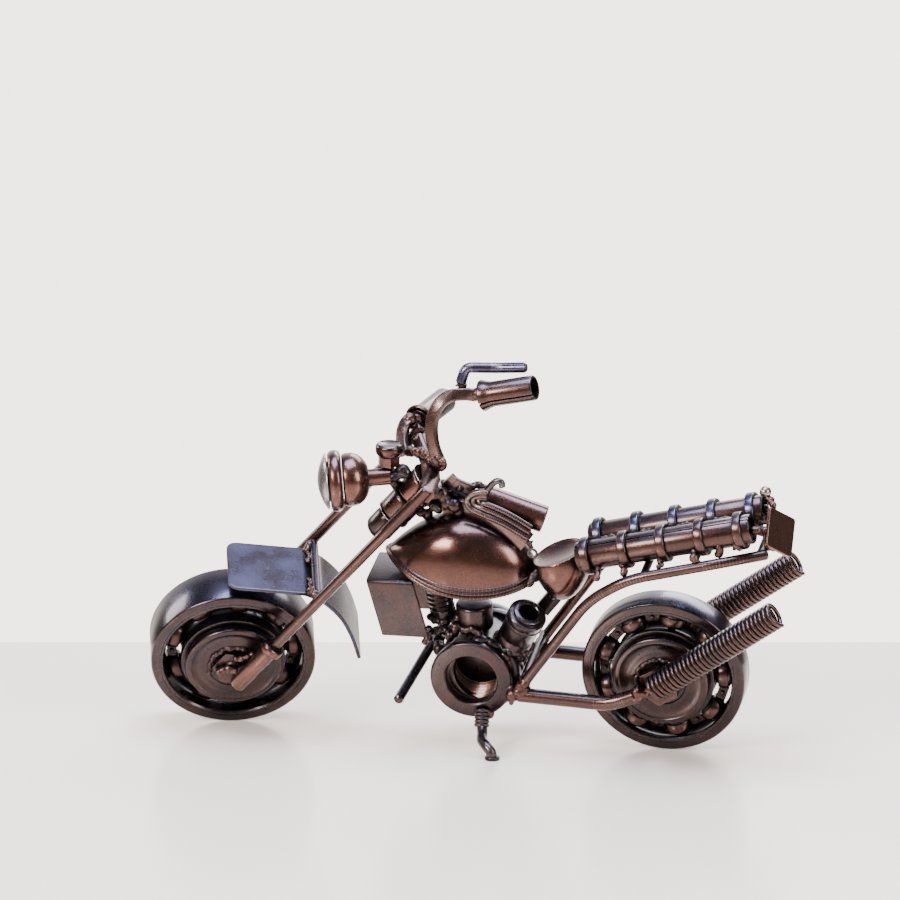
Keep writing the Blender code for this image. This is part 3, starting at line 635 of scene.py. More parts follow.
class MOTORCYCLE_OT_wheels(PieceOperator):
    """Build both ball-bearing wheels with their cages, balls, cover washers and axle nuts"""
    bl_idname = "motorcycle.wheels"
    bl_label = "Wheels"

    def build(self, sizes):
        self.bearing("rear", REAR_WIDTH, BIKE, "frame", "rear_wheel", "rear_cage")
        self.bearing("front", FRONT_WIDTH, FRONT_WHEEL, "fork", "front_wheel", "front_cage")
        self.hub("rear", REAR_WIDTH, BIKE, "frame", 9.7)
        self.hub("front", FRONT_WIDTH, FRONT_WHEEL, "fork", 9.8)

    def bearing(self, prefix, width, place, fixed, spin, cage):
        half = width / 2
        arc = [radians(a) for a in range(-50, 51, 10)]
        side = [(OUTER_SHOULDER, half - 0.4), (OUTER_SHOULDER + 0.35, half), (18.55, half),
                (18.63, half - 0.16), (18.82, half - 0.16), (18.9, half), (20.25, half),
                (20.6, half - 0.08), (20.86, half - 0.28), (WHEEL_RADIUS, half - 0.62)]
        groove = [(PITCH_RADIUS + GROOVE_RADIUS * cos(a), GROOVE_RADIUS * sin(a)) for a in arc]
        outer = side + [(r, -h) for r, h in reversed(side)] + groove
        finish(prefix + "_outer_ring", turned(outer, Y_AXIS, segments=160), place, "race", spin,
               [prefix + "_wheel_outer_ring"])
        side = [(BORE_RADIUS + 0.4, half), (12.75, half), (12.8, half - 0.12), (12.98, half - 0.12),
                (13.02, half), (INNER_SHOULDER - 0.05, half - 0.04), (INNER_SHOULDER, half - 0.35)]
        groove = [(PITCH_RADIUS - GROOVE_RADIUS * cos(a), GROOVE_RADIUS * sin(a)) for a in reversed(arc)]
        inner = side + groove + [(r, -h) for r, h in reversed(side)]
        finish(prefix + "_inner_ring", turned(inner, Y_AXIS, segments=128), place, "race", fixed,
               [prefix + "_wheel_inner_ring"])
        self.cage(prefix, place, cage)

    def cage(self, prefix, place, body):
        """Two stamped rings that wave over the balls, riveted between them."""
        bm = bmesh.new()
        centres = [2 * pi * (i + 0.5) / BALL_COUNT for i in range(BALL_COUNT)]
        for side in (1, -1):
            rows = [bm.verts.new((r, 0, 0.35 * side)) for r in (14.25, 14.5, 15.1, 15.9, 16.5, 16.75)]
            edges = [bm.edges.new(pair) for pair in zip(rows, rows[1:])]
            bmesh.ops.spin(bm, geom=rows + edges, cent=(0, 0, 0), axis=(0, 0, 1), dvec=(0, 0, 0),
                           angle=2 * pi, steps=252, use_merge=True, use_duplicate=False)
        for vert in bm.verts:
            side = 1 if vert.co.z > 0 else -1
            near = min(hypot(vert.co.x - PITCH_RADIUS * cos(a), vert.co.y - PITCH_RADIUS * sin(a))
                       for a in centres)
            swell = sqrt(max((BALL_RADIUS + 0.32) ** 2 - near ** 2, 0.0))
            vert.co.z = side * max(0.32, swell)
        bmesh.ops.transform(bm, matrix=along(Y_AXIS), verts=bm.verts)
        obj = finish(prefix + "_cage", bm, place, "bronze", body, [prefix + "_wheel_ball_cage"])
        walled(obj, 0.5)
        rivets = bmesh.new()
        balls = bmesh.new()
        for i, turn in enumerate(centres):
            gap = turn + pi / BALL_COUNT
            head = turned(disc_profile(0.62, -1.05, 1.05, 0.3), Z_AXIS, (0, 0, 0), 20)
            merge(rivets, head, Matrix.Translation((PITCH_RADIUS * cos(gap), PITCH_RADIUS * sin(gap), 0)))
            place_ball = Matrix.Translation((PITCH_RADIUS * cos(turn), PITCH_RADIUS * sin(turn), 0))
            bmesh.ops.create_icosphere(balls, subdivisions=4, radius=BALL_RADIUS, matrix=place_ball)
        for name, bm, look in (("_cage_rivets", rivets, "bronze"), ("_balls", balls, "bright")):
            bmesh.ops.transform(bm, matrix=along(Y_AXIS), verts=bm.verts)
            finish(prefix + name, bm, place, look, body)

    def hub(self, prefix, width, place, body, reach):
        face = width / 2 + 0.3
        outside = face + WASHER_THICKNESS
        for label, side in SIDES:
            washer = [(2.7, face), (WASHER_RADIUS - 0.3, face), (WASHER_RADIUS, face + 0.3),
                      (WASHER_RADIUS, outside - 0.5), (WASHER_RADIUS - 0.15, outside - 0.2),
                      (WASHER_RADIUS - 0.5, outside), (10.9, outside), (10.6, outside - 0.25),
                      (8.1, outside - 0.35), (7.8, outside - 0.15), (6.6, outside - 0.15),
                      (6.3, outside - 0.4), (2.7, outside - 0.4)]
            finish(f"{prefix}_hub_washer_{label}", turned(washer, (0, side, 0), segments=112), place,
                   "dark", body, [f"{prefix}_cover_washer_{label}"])
            ring = [(6.2 * cos(a), side * (outside - 0.1), 6.2 * sin(a))
                    for a in [2 * pi * i / 14 for i in range(10)]]
            weld(f"weld_{prefix}_hub_{label}", [(ring, 0.75)], place, body, 201 + side, "dark_weld")
        bar = bmesh.new()
        merge(bar, turned(threaded_profile(2.35, -reach, reach, 0.8, 0.22), Y_AXIS, segments=48))
        for side in (-1, 1):
            nut = turned(disc_profile(5.3, outside + 0.1, reach - 0.5, 0.35), (0, side, 0), segments=72)
            merge(bar, hexed(nut, 9.3, 3.0, (0, 0, 0), (0, side, 0)))
        finish(f"{prefix}_axle_and_nuts", bar, place, "bronze", body, [f"{prefix}_axle"])


class MOTORCYCLE_OT_frame(PieceOperator):
    """Build the chain stays, seat rails, cross rods and the welds where they meet"""
    bl_idname = "motorcycle.frame_rods"
    bl_label = "Frame Rods"

    def build(self, sizes):
        stay = [(-36.3, STAY_SPREAD, -3.2), (-12.0, STAY_SPREAD, -4.3), (-5.0, STAY_SPREAD, -1.2)]
        rail = [(28.8, 5.4, 37.9), (18.2, 10.0, 37.2), (-6.0, STAY_SPREAD, 31.8),
                (-16.5, STAY_SPREAD, 25.0), (-34.2, STAY_SPREAD, 0.2)]
        for label, side in SIDES:
            path = bent(mirrored(stay, side), 4.0)
            finish(f"chain_stay_rod_{label}", rod(path, 1.9), BIKE, "bronze", "frame",
                   [f"chain_stay_{label}"])
            path = bent(mirrored(rail, side), 5.0)
            finish(f"seat_rail_rod_{label}", rod(path, 1.35), BIKE, "bronze", "frame",
                   [f"seat_rail_{label}"])
            y = STAY_SPREAD * side
            weld(f"weld_rail_to_stay_{label}", [([(-37.6, y, -3.6), (-34.6, y, -1.6)], 2.0),
                                                ([(-35.4, y, -1.6), (-33.6, y, 1.2)], 1.7)],
                 BIKE, "frame", 11 + side)
            weld(f"weld_stay_to_axle_{label}", [([(-7.0, y, -2.4), (-3.4, y * 0.93, -0.6)], 2.0),
                                                ([(-3.0, y * 0.9, -0.4), (0.6, y * 0.9, 1.6)], 1.7)],
                 BIKE, "frame", 21 + side)
        rods = bmesh.new()
        for x, z, reach in ((-2.2, 32.6, 11.6), (26.8, 37.7, 5.9), (-34.0, 1.8, 11.6)):
            rod([(x, -reach, z), (x, reach, z)], 1.0, Z_AXIS, bm=rods)
        finish("frame_cross_rods", rods, BIKE, "dark", "frame",
               ["seat_cross_rod_front", "seat_cross_rod_rear"])
        runs = []
        for x, z, reach in ((-2.2, 32.6, 11.3), (26.8, 37.7, 5.6)):
            for side in (-1, 1):
                runs.append(([(x, side * (reach - 1.2), z), (x, side * reach, z)], 1.25))
        weld("weld_cross_rods", runs, BIKE, "frame", 31)


class MOTORCYCLE_OT_seat(PieceOperator):
    """Build the two rows of rolled tube with their collars and the welds under and between them"""
    bl_idname = "motorcycle.seat"
    bl_label = "Seat Tubes"

    def build(self, sizes):
        slope = radians(SEAT_SLOPE)
        axis = Vector((cos(slope), 0, sin(slope)))
        for label, side in SIDES:
            start = SEAT_START + Vector((0, SEAT_SPREAD * side, 0))
            if side > 0:
                start += axis * SEAT_RIGHT_SHIFT
            wall = [(3.0, -1.6), (SEAT_TUBE_RADIUS - 0.2, -1.8), (SEAT_TUBE_RADIUS, -1.5),
                    (SEAT_TUBE_RADIUS, SEAT_LENGTH - 0.4), (SEAT_TUBE_RADIUS - 0.2, SEAT_LENGTH - 0.1),
                    (3.0, SEAT_LENGTH - 0.1)]
            turn = 118 if side < 0 else 62
            tube = turned(wall, axis, start, 88, 354.0, turn)
            plug = turned(disc_profile(3.05, -1.2, SEAT_LENGTH - 0.9, 0.3), axis, start, 48)
            merge(tube, plug)
            finish(f"seat_roll_{label}", tube, BIKE, "bronze", "frame", [f"seat_tube_{label}"])
            collars = bmesh.new()
            for i in range(5):
                middle = 0.6 + i * SEAT_RING_PITCH
                low, high = middle - SEAT_RING_WIDTH / 2, middle + SEAT_RING_WIDTH / 2
                band = disc_profile(SEAT_RING_RADIUS, low, high, 0.42, SEAT_TUBE_RADIUS - 0.1)
                merge(collars, turned(band, axis, start, 72))
            finish(f"seat_collars_{label}", collars, BIKE, "bronze" if side < 0 else "blued_and_top_reflection", "frame")
        runs = []
        for at, size in ((4.0, 1.3), (10.8, 1.6), (20.6, 1.4), (29.8, 1.7), (36.0, 1.5), (41.0, 1.8)):
            middle = SEAT_START + axis * at
            for side in (-1, 1):
                rail_y = STAY_SPREAD if at < 30 else STAY_SPREAD - 0.42 * (at - 30)
                low = Vector((middle.x, side * (rail_y - 1.6), middle.z - 3.9))
                high = Vector((middle.x, side * 8.2, middle.z - 2.4))
                runs.append(([low, high], size * 0.8))
        weld("weld_seat_to_rails", runs, BIKE, "frame", 41)
        runs = [([SEAT_START + axis * a + Vector((0, 0, 1.7)) for a in (b, b + 3.4)], 0.8)
                for b in (3.2, 13.4, 23.6, 33.8)]
        weld("weld_between_seat_rows", runs, BIKE, "frame", 43, "dark_weld")


class MOTORCYCLE_OT_tail(PieceOperator):
    """Build the square tail plate and the ball welded above it"""
    bl_idname = "motorcycle.tail"
    bl_label = "Tail Plate"

    def build(self, sizes):
        plate = bmesh.new()
        bmesh.ops.create_cube(plate, size=1.0)
        bmesh.ops.scale(plate, vec=(10.3, 10.3, 1.0), verts=plate.verts)
        upright = [e for e in plate.edges if abs((e.verts[0].co - e.verts[1].co).z) > 0.5]
        bmesh.ops.bevel(plate, geom=upright, offset=0.9, offset_type='OFFSET', affect='EDGES',
                        segments=5, profile=0.5, material=-1)
        normal = Vector((0.874, -0.324, 0.361)).normalized()
        first = Vector((-0.04, 0.68, -0.73))
        first = (first - normal * first.dot(normal)).normalized()
        turn = Matrix((first, normal.cross(first), normal)).transposed().to_4x4()
        bmesh.ops.transform(plate, matrix=Matrix.Translation((30.9, 0, 41.4)) @ turn, verts=plate.verts)
        bevelled(finish("tail_sheet", plate, BIKE, "copper", "frame", ["tail_plate"]), 0.22)
        ball = bmesh.new()
        bmesh.ops.create_icosphere(ball, subdivisions=4, radius=1.5,
                                   matrix=Matrix.Translation((26.6, 5.0, 50.0)))
        finish("tail_bearing_ball", ball, BIKE, "bright", "frame", ["tail_ball"])
        weld("weld_tail", [([(27.4, 4.6, 48.6), (28.8, 3.0, 47.0)], 1.0),
                           ([(28.4, -4.2, 39.8), (29.4, -2.8, 38.8)], 1.3),
                           ([(28.6, 4.4, 38.4), (30.6, 2.4, 38.0)], 1.3),
                           ([(25.6, -4.8, 44.2), (28.4, -3.0, 43.6)], 1.2),
                           ([(26.4, 4.8, 45.0), (28.6, 3.4, 44.2)], 1.2)], BIKE, "frame", 51)


class MOTORCYCLE_OT_saddle(PieceOperator):
    """Build the scooped saddle nose and its strut"""
    bl_idname = "motorcycle.saddle"
    bl_label = "Saddle Nose"

    def build(self, sizes):
        scoop = bmesh.new()
        bmesh.ops.create_uvsphere(scoop, u_segments=96, v_segments=64, radius=1.0)
        for vert in scoop.verts:
            x, y, z = vert.co
            level = 0.42 + 0.28 * x
            blend = 1 / (1 + 2.718281828 ** (-(level - z) * 26))
            top = z * blend + level * (1 - blend)
            dish = 0.16 * (1 - blend) * max(0.0, 1 - (x * x + y * y) * 1.15)
            vert.co = (7.3 * x * (1.0 + 0.22 * min(z, 0.0)), 7.8 * y, 9.2 * (top - dish))
        bmesh.ops.transform(scoop, matrix=Matrix.Translation((-25.2, -1.0, 28.9)), verts=scoop.verts)
        finish("saddle_scoop", scoop, BIKE, "copper", "frame", ["saddle_nose"])
        strut = swept([(-31.1, -0.2, 15.4), (-27.1, -0.2, 20.5)], strip_outline(4.0, 2.6))
        finish("saddle_post", strut, BIKE, "dark", "frame", ["saddle_strut"])
        weld("weld_saddle", [([(-27.4, -3.6, 21.2), (-27.4, 2.8, 21.2)], 1.1),
                             ([(-33.2, -4.6, 24.6), (-31.8, -2.2, 25.6)], 1.3),
                             ([(-32.4, -7.0, 27.2), (-30.9, -6.2, 29.2)], 1.0),
                             ([(-19.9, -3.0, 31.6), (-19.9, 1.2, 31.6)], 1.3),
                             ([(-31.6, -2.0, 15.4), (-31.8, -5.4, 14.4)], 1.5)], BIKE, "frame", 61,
             "dark_weld")


def tank_point(x, y, z):
    """Point of the pressed bowl for a point of the unit sphere."""
    taper = sqrt(max(1 - x * x, 0.0)) if x < 0 else 1.0
    width = TANK_SIZE[1] * sqrt(taper)
    rise = TANK_SIZE[2] * taper * z
    local = Vector((TANK_SIZE[0] * x, width * y, rise - TANK_RIM_DIP * y * y * (1 - z)))
    return TANK_CENTRE + Matrix.Rotation(radians(TANK_TILT), 3, 'Y') @ local


class MOTORCYCLE_OT_tank(PieceOperator):
    """Build the pressed tank bowl with its rolled rim, trim wires and rolled tube"""
    bl_idname = "motorcycle.tank"
    bl_label = "Tank"

    def build(self, sizes):
        bowl = bmesh.new()
        bmesh.ops.create_uvsphere(bowl, u_segments=128, v_segments=64, radius=1.0)
        bmesh.ops.bisect_plane(bowl, geom=bowl.verts[:] + bowl.edges[:] + bowl.faces[:],
                               plane_co=(0, 0, 0), plane_no=(0, 0, 1), clear_inner=True)
        for vert in bowl.verts:
            vert.co = tank_point(*vert.co)
        bmesh.ops.recalc_face_normals(bowl, faces=bowl.faces)
        walled(finish("tank_dome", bowl, BIKE, "tank", "frame", ["tank_bowl"], False), 0.9, -1.0)
        rim = bmesh.new()
        for height, size, inset in ((0.02, 0.62, 0.985), (0.085, 0.5, 0.995), (0.15, 0.42, 0.992)):
            path = []
            for i in range(121):
                turn = 2 * pi * i / 120
                level = sqrt(1 - height * height)
                path.append(tank_point(cos(turn) * level * inset, sin(turn) * level * inset, height))
            swept(path, round_outline(size, 12), Z_AXIS, bm=rim)
        finish("tank_rolled_rim", rim, BIKE, "bronze", "frame")
        trim = bmesh.new()
        line = [(-33.0, 37.4), (-39.5, 41.0), (-44.9, 42.9), (-47.8, 44.0), (-48.9, 45.6), (-48.2, 47.3),
                (-46.0, 48.5), (-43.2, 48.7)]
        middle = Vector((-44.2, 0, 46.2))
        for inset, y, radius in ((0.0, 0.0, 0.85), (1.45, 0.35, 0.75), (2.8, 0.6, 0.7)):
            points = []
            for i, (x, z) in enumerate(line):
                point = Vector((x, y - 3.6 + min(i, 4) * 0.52, z))
                inward = middle - point if i > 2 else Vector((0.35, 0, 1.0))
                inward.y = 0
                points.append(point + inward.normalized() * inset)
            rod(smooth(points), radius, sides=14, bm=trim)
        finish("tank_trim_wires", trim, BIKE, "bronze", "frame", ["tank_trim"])
        axis, start = ROLLED_TUBE
        wall = [(2.75, 0.0), (3.35, 0.0), (3.5, 0.15), (3.5, 15.05), (3.35, 15.2), (2.75, 15.2)]
        tube = turned(wall, axis, start, 72, 346.0, 40)
        finish("tank_rolled_sheet_tube", tube, BIKE, "copper", "frame", ["tank_rolled_tube"])
        ridge = smooth([(-34.4, -1.4, 34.4), (-39.4, -0.8, 38.2), (-44.6, 0.2, 40.8), (-50.0, 1.0, 41.8),
                        (-55.6, 1.0, 41.0)])
        finish("tank_ridge_sheet", swept(ridge, strip_outline(7.0, 2.6, 1.0)), BIKE, "tank", "frame")
        core = turned(disc_profile(2.6, 1.0, 13.6, 0.3, 1.7), axis, start, 48)
        finish("tank_tube_core", core, BIKE, "dark", "frame")
        loop = bmesh.new()
        ring = [Vector((-32.0 + 1.1 * cos(a), -4.4, 33.6 + 1.1 * sin(a)))
                for a in [2 * pi * i / 24 for i in range(25)]]
        swept(ring, round_outline(0.36, 10), bm=loop)
        finish("tank_tie_ring", loop, BIKE, "dark", "frame")
        weld("weld_tank_top", [([(-44.4, 2.6, 41.4), (-34.4, 3.0, 37.6)], 1.5),
                               ([(-32.8, -3.6, 36.0), (-32.4, -3.4, 34.6)], 1.0)], BIKE, "frame", 71,
             "dark_weld")


class MOTORCYCLE_OT_front_cover(PieceOperator):
    """Build the folded sheet ahead of the engine and the bolt that stands inside it"""
    bl_idname = "motorcycle.front_cover"
    bl_label = "Front Cover"

    def build(self, sizes):
        (half, depth, wall), corner = COVER_SIZE, 1.1
        turns = [(corner * (1 - cos(a)), corner * (1 - sin(a))) for a in (0, pi / 6, pi / 3, pi / 2)]
        left = [(-half + x, -z) for x, z in turns]
        outside = [(-half, -depth)] + left + [(-x, z) for x, z in reversed(left)] + [(half, -depth)]
        outline = outside + [(half - wall, -depth), (half - wall, -wall), (wall - half, -wall),
                             (wall - half, -depth)]
        bm = swept([(-75.0, 0, 25.0), (-62.9, 0, 25.1)], outline, Z_AXIS)
        for vert in bm.verts:
            vert.co.x += COVER_LEAN * (25.5 - vert.co.z)
        bevelled(finish("folded_front_cover", bm, BIKE, "dark", "frame", ["front_cover"]), 0.25, 3, 60)
        bolt_axis = Vector((-0.12, 0, 0.99)).normalized()
        body = bmesh.new()
        merge(body, turned(threaded_profile(3.05, 3.0, 24.0, 1.3, 0.25), bolt_axis, DOWN_STUD_BASE, 56))
        merge(body, turned(disc_profile(3.3, 0.0, 3.4, 0.4), bolt_axis, DOWN_STUD_BASE, 56))
        finish("down_stud", body, BIKE, "dark", "frame", ["down_bolt"])
        weld("weld_front_cover", [([(-66.4, -4.0, 24.0), (-66.4, 4.0, 24.0)], 1.2),
                                  ([(-59.8, -2.6, 12.0), (-55.6, -3.0, 11.4)], 1.4),
                                  ([(-59.2, 2.6, 12.0), (-55.0, 3.0, 11.4)], 1.4)], BIKE, "frame", 81,
             "dark_weld")


class MOTORCYCLE_OT_engine(PieceOperator):
    """Build the threaded crankcase barrel, its washers, the cylinder, the stud and the foot peg rod"""
    bl_idname = "motorcycle.engine"
    bl_label = "Engine"

    def build(self, sizes):
        pitch = sizes.thread_pitch / MM
        half = ENGINE_HALF_WIDTH
        case = bmesh.new()
        for side in (-1, 1):
            wall = [(0.0, 0.8), (7.6, 0.8), (7.6, half), (9.4, half), (9.9, half - 0.5), (9.9, 0.0),
                    (0.0, 0.0)]
            merge(case, turned(wall, (0, side, 0), ENGINE_CENTRE, 120))
        finish("crankcase_threaded_barrel", case, BIKE, "dark", "frame", ["crankcase_barrel"])
        for label, side in SIDES:
            bore = threaded_profile(ENGINE_BORE, 1.0, half + 0.3, pitch, 1.0, 7.5)
            finish(f"crankcase_thread_{label}", turned(bore, (0, side, 0), ENGINE_CENTRE, 120), BIKE,
                   "copper", "frame")
        for label, side in SIDES:
            cover = disc_profile(10.6, half + 0.1, half + 2.5, 0.55, 6.75)
            finish(f"engine_washer_{label}", turned(cover, (0, side, 0), ENGINE_CENTRE, 128), BIKE,
                   "dark", "frame", [f"engine_cover_{label}"])
            cover = disc_profile(10.0, half - 2.6, half - 0.2, 0.5, 7.2)
            shifted = ENGINE_CENTRE + Vector((2.2, 0, 0.4))
            finish(f"engine_back_washer_{label}", turned(cover, (0, side, 0), shifted, 96), BIKE,
                   "dark", "frame")
        block = disc_profile(4.7, 0.0, 7.0, 0.9)
        finish("engine_top_stud", turned(block, Z_AXIS, (-48.6, -1.5, 10.0), 64), BIKE, "dark", "frame",
               ["engine_block"])
        self.rear_cylinder()
        peg = rod([(-59.4, 9.0, 4.4), (-64.2, -24.0, -0.4)], 1.25, Z_AXIS)
        finish("foot_peg_bar", peg, BIKE, "dark", "frame", ["foot_peg_rod"])
        c = ENGINE_CENTRE
        weld("weld_engine_top", [([(-53.6, -6.4, 9.6), (-52.4, -3.0, 12.4), (-52.0, 3.0, 12.8)], 1.7),
                                 ([(-50.4, -6.4, 11.4), (-46.0, -6.6, 11.2)], 1.3),
                                 ([(-46.4, -8.2, 10.0), (-42.4, -7.6, 8.4)], 1.4)], BIKE, "frame", 91,
             "dark_weld")
        weld("weld_crankcase", [([(-38.4, y, 8.6), (-37.0, y, 3.6), (-38.4, y, -1.4)], 2.2)
                                for y in (-4.6, -1.6, 1.4)], BIKE, "frame", 95, "dark_weld")
        weld("weld_engine_front", [([(-57.4, -5.2, 4.6), (-58.4, -2.0, 5.8), (-57.6, 4.6, 5.4)], 1.7),
                                   ([(-58.6, -4.0, 9.2), (-55.4, -4.2, 10.4)], 1.5),
                                   ([(-60.6, -6.6, 7.4), (-59.0, -7.2, 11.4)], 1.3)], BIKE, "frame", 92,
             "dark_weld")
        runs = []
        for side in (-1, 1):
            runs.append(([(c.x + 9.0, side * 9.6, -2.2), (c.x + 11.2, side * 11.0, -3.4)], 1.7))
            runs.append(([(c.x + 9.2, side * 8.4, 3.2), (c.x + 8.4, side * 8.4, 6.0)], 1.3))
        weld("weld_engine_to_stays", runs, BIKE, "frame", 93)

    def rear_cylinder(self):
        base, head = REAR_CYLINDER
        axis = (head - base).normalized()
        length = (head - base).length
        barrel = [(0.0, 0.0), (4.3, 0.0), (4.55, 0.2), (4.6, 0.6), (4.55, 4.0), (4.35, 4.3), (4.35, 4.7),
                  (4.55, 5.0), (4.6, length - 4.4), (4.9, length - 4.1), (4.95, length - 3.7),
                  (4.75, length - 3.4), (4.75, length - 3.1), (4.95, length - 2.8), (4.95, length - 1.3),
                  (4.7, length - 1.0), (3.9, length - 0.95), (3.8, length - 0.1), (3.6, length),
                  (2.7, length), (2.5, length - 0.2), (2.5, length - 4.0), (0.0, length - 4.0)]
        finish("rear_cylinder_barrel", turned(barrel, axis, base, 80), BIKE, "dark", "frame",
               ["rear_cylinder"])
        foot = [base + axis * 0.2 + Vector((4.2 * cos(a), 4.2 * sin(a), -3.2 * cos(a) * 0.4))
                for a in [2 * pi * i / 12 for i in range(13)]]
        weld("weld_rear_cylinder", [(foot, 1.15)], BIKE, "frame", 94, "dark_weld")


class MOTORCYCLE_OT_exhausts(PieceOperator):
    """Wind the two exhaust coils"""
    bl_idname = "motorcycle.exhausts"
    bl_label = "Exhaust Coils"

    def build(self, sizes):
        wire = sizes.spring_wire / MM
        rise = radians(SPRING_RISE)
        axis = Vector((cos(rise), 0, sin(rise)))
        pitch = wire * 1.16
        turns = (SPRING_LENGTH - wire) / pitch
        steps = int(turns * 28)
        for label, side in SIDES:
            start = SPRING_START + Vector((0, SPRING_SPREAD * side, 0))
            bm = bmesh.new()
            circle = bmesh.ops.create_circle(bm, cap_ends=True, segments=10, radius=wire / 2)["verts"]
            place = (Matrix.Translation((SPRING_RADIUS - wire / 2, 0, wire / 2))
                     @ Matrix.Rotation(pi / 2, 4, 'X'))
            bmesh.ops.transform(bm, matrix=place, verts=circle)
            geom = bm.verts[:] + bm.edges[:] + bm.faces[:]
            bmesh.ops.spin(bm, geom=geom, cent=(0, 0, 0), axis=(0, 0, 1), angle=2 * pi * turns,
                           dvec=(0, 0, pitch * turns / steps), steps=steps, use_merge=False,
                           use_duplicate=False)
            bmesh.ops.transform(bm, matrix=Matrix.Translation(start) @ along(axis), verts=bm.verts)
            finish(f"exhaust_coil_{label}", bm, BIKE, "bronze", "frame", [f"exhaust_spring_{label}"])
            y = side * (SPRING_SPREAD - 3.4)
            weld(f"weld_exhaust_{label}", [([(-0.8, y, 0.4), (3.4, y, 3.6)], 1.6)], BIKE, "frame",
                 101 + side)


class MOTORCYCLE_OT_side_stand(PieceOperator):
    """Build the side stand's threaded stub, bent leg and foot"""
    bl_idname = "motorcycle.side_stand"
    bl_label = "Side Stand"

    def build(self, sizes):
        stub_axis = Vector((0.04, -0.62, -0.78)).normalized()
        stub = turned(threaded_profile(1.75, 0.0, 4.6, 0.8, 0.28), stub_axis, (-45.5, -11.0, -8.6), 40)
        path = smooth([(-45.3, -13.4, -11.7), (-44.8, -15.6, -12.9), (-44.2, -18.6, -13.4),
                       (-42.6, -21.2, -13.4), (-41.2, -22.4, -14.4), (-40.95, -22.4, -15.9)])
        merge(stub, rod(path, 1.35, (1, 0, 0)))
        finish("stand_leg", stub, BIKE, "dark", "frame", ["side_stand_leg"])
        lean = radians(LEAN)
        x, y, z = -40.9, -22.41, -16.6
        centre = (x + REAR_CENTRE[0], y * cos(lean) - z * sin(lean) + REAR_CENTRE[1], 0)
        foot = turned(disc_profile(1.9, 0.0, 0.9, 0.25), Z_AXIS, centre, 48)
        finish("stand_foot", foot, WORLD, "dark", "frame", ["side_stand_foot"])
        weld("weld_stand", [([(-47.0, -10.6, -9.4), (-44.0, -10.8, -9.4)], 1.3)], BIKE, "frame", 111)


class MOTORCYCLE_OT_steering_head(PieceOperator):
    """Build the stacked barrels and washers of the steering head and the weld to the tank"""
    bl_idname = "motorcycle.steering_head"
    bl_label = "Steering Head"

    def build(self, sizes):
        barrel = disc_profile(4.3, 66.0, 72.6, 0.8, 2.3)
        finish("head_barrel", turned(barrel), FORK, "copper", "frame", ["head_tube"])
        cup = [(2.3, 51.7), (2.75, 51.6), (2.9, 51.7), (3.6, 52.7), (3.7, 53.0), (3.7, 57.0),
               (3.62, 57.3), (3.3, 58.5), (3.1, 58.7), (2.3, 58.7)]
        finish("lower_cup", turned(cup), FORK, "dark", "fork", ["stem_cup"])
        barrel = disc_profile(4.3, 59.0, 65.6, 0.9, 2.3)
        finish("lower_barrel", turned(barrel), FORK, "bronze", "fork", ["stem_barrel"])
        stem = threaded_profile(1.85, 51.0, 73.0, 0.8, 0.15)
        finish("stem_stud", turned(stem, segments=48), FORK, "dark", "fork", ["steering_stem"])
        washers = bmesh.new()
        for height in (58.74, 73.05):
            merge(washers, turned(disc_profile(4.5, height, height + 0.3, 0.12, 2.3)))
        finish("stem_washers", washers, FORK, "bright", "fork")
        strip = smooth([(-54.3, 1.7, 50.4), (-53.0, 1.8, 49.1), (-51.0, 2.0, 47.9), (-48.2, 2.2, 46.9)])
        finish("neck_sheet_strip", swept(strip, strip_outline(3.6, 1.4, 0.4)), BIKE, "bronze", "frame",
               ["neck_strip"])
        weld("weld_neck", [([(-57.0, -0.8, 47.4), (-54.0, -1.0, 45.0), (-51.2, 0.2, 42.6)], 2.1),
                           ([(-56.4, 2.6, 47.0), (-52.2, 2.6, 45.4), (-48.4, 3.4, 43.6)], 2.1),
                           ([(-60.0, 0.6, 44.4), (-57.0, 0.8, 41.6)], 1.8),
                           ([(-62.4, 0.8, 41.4), (-60.0, 1.0, 39.6)], 1.6),
                           ([(-51.6, 1.4, 47.6), (-45.8, 4.2, 47.6)], 1.2)], BIKE, "frame", 121, "dark_weld")
        gusset = bmesh.new()
        corners = [(-57.6, 47.6), (-53.6, 48.2), (-48.6, 46.0), (-47.4, 42.0), (-56.0, 41.0),
                   (-60.4, 42.4)]
        face = gusset.faces.new([gusset.verts.new((x, 1.0, z)) for x, z in corners])
        side = bmesh.ops.extrude_face_region(gusset, geom=[face])["geom"]
        raised = [item for item in side if isinstance(item, bmesh.types.BMVert)]
        bmesh.ops.translate(gusset, vec=(0, 1.8, 0), verts=raised)
        bevelled(finish("neck_gusset", gusset, BIKE, "blued_and_top_reflection", "frame"), 0.5)
        hook = smooth([(-44.4, -1.0, 44.7), (-44.1, -1.0, 47.8), (-42.8, -1.0, 50.2), (-41.2, -1.0, 51.7),
                       (-39.9, -1.0, 51.5), (-39.7, -1.0, 50.1)])
        finish("neck_hook", rod(hook, 0.85, sides=14), BIKE, "dark", "frame")


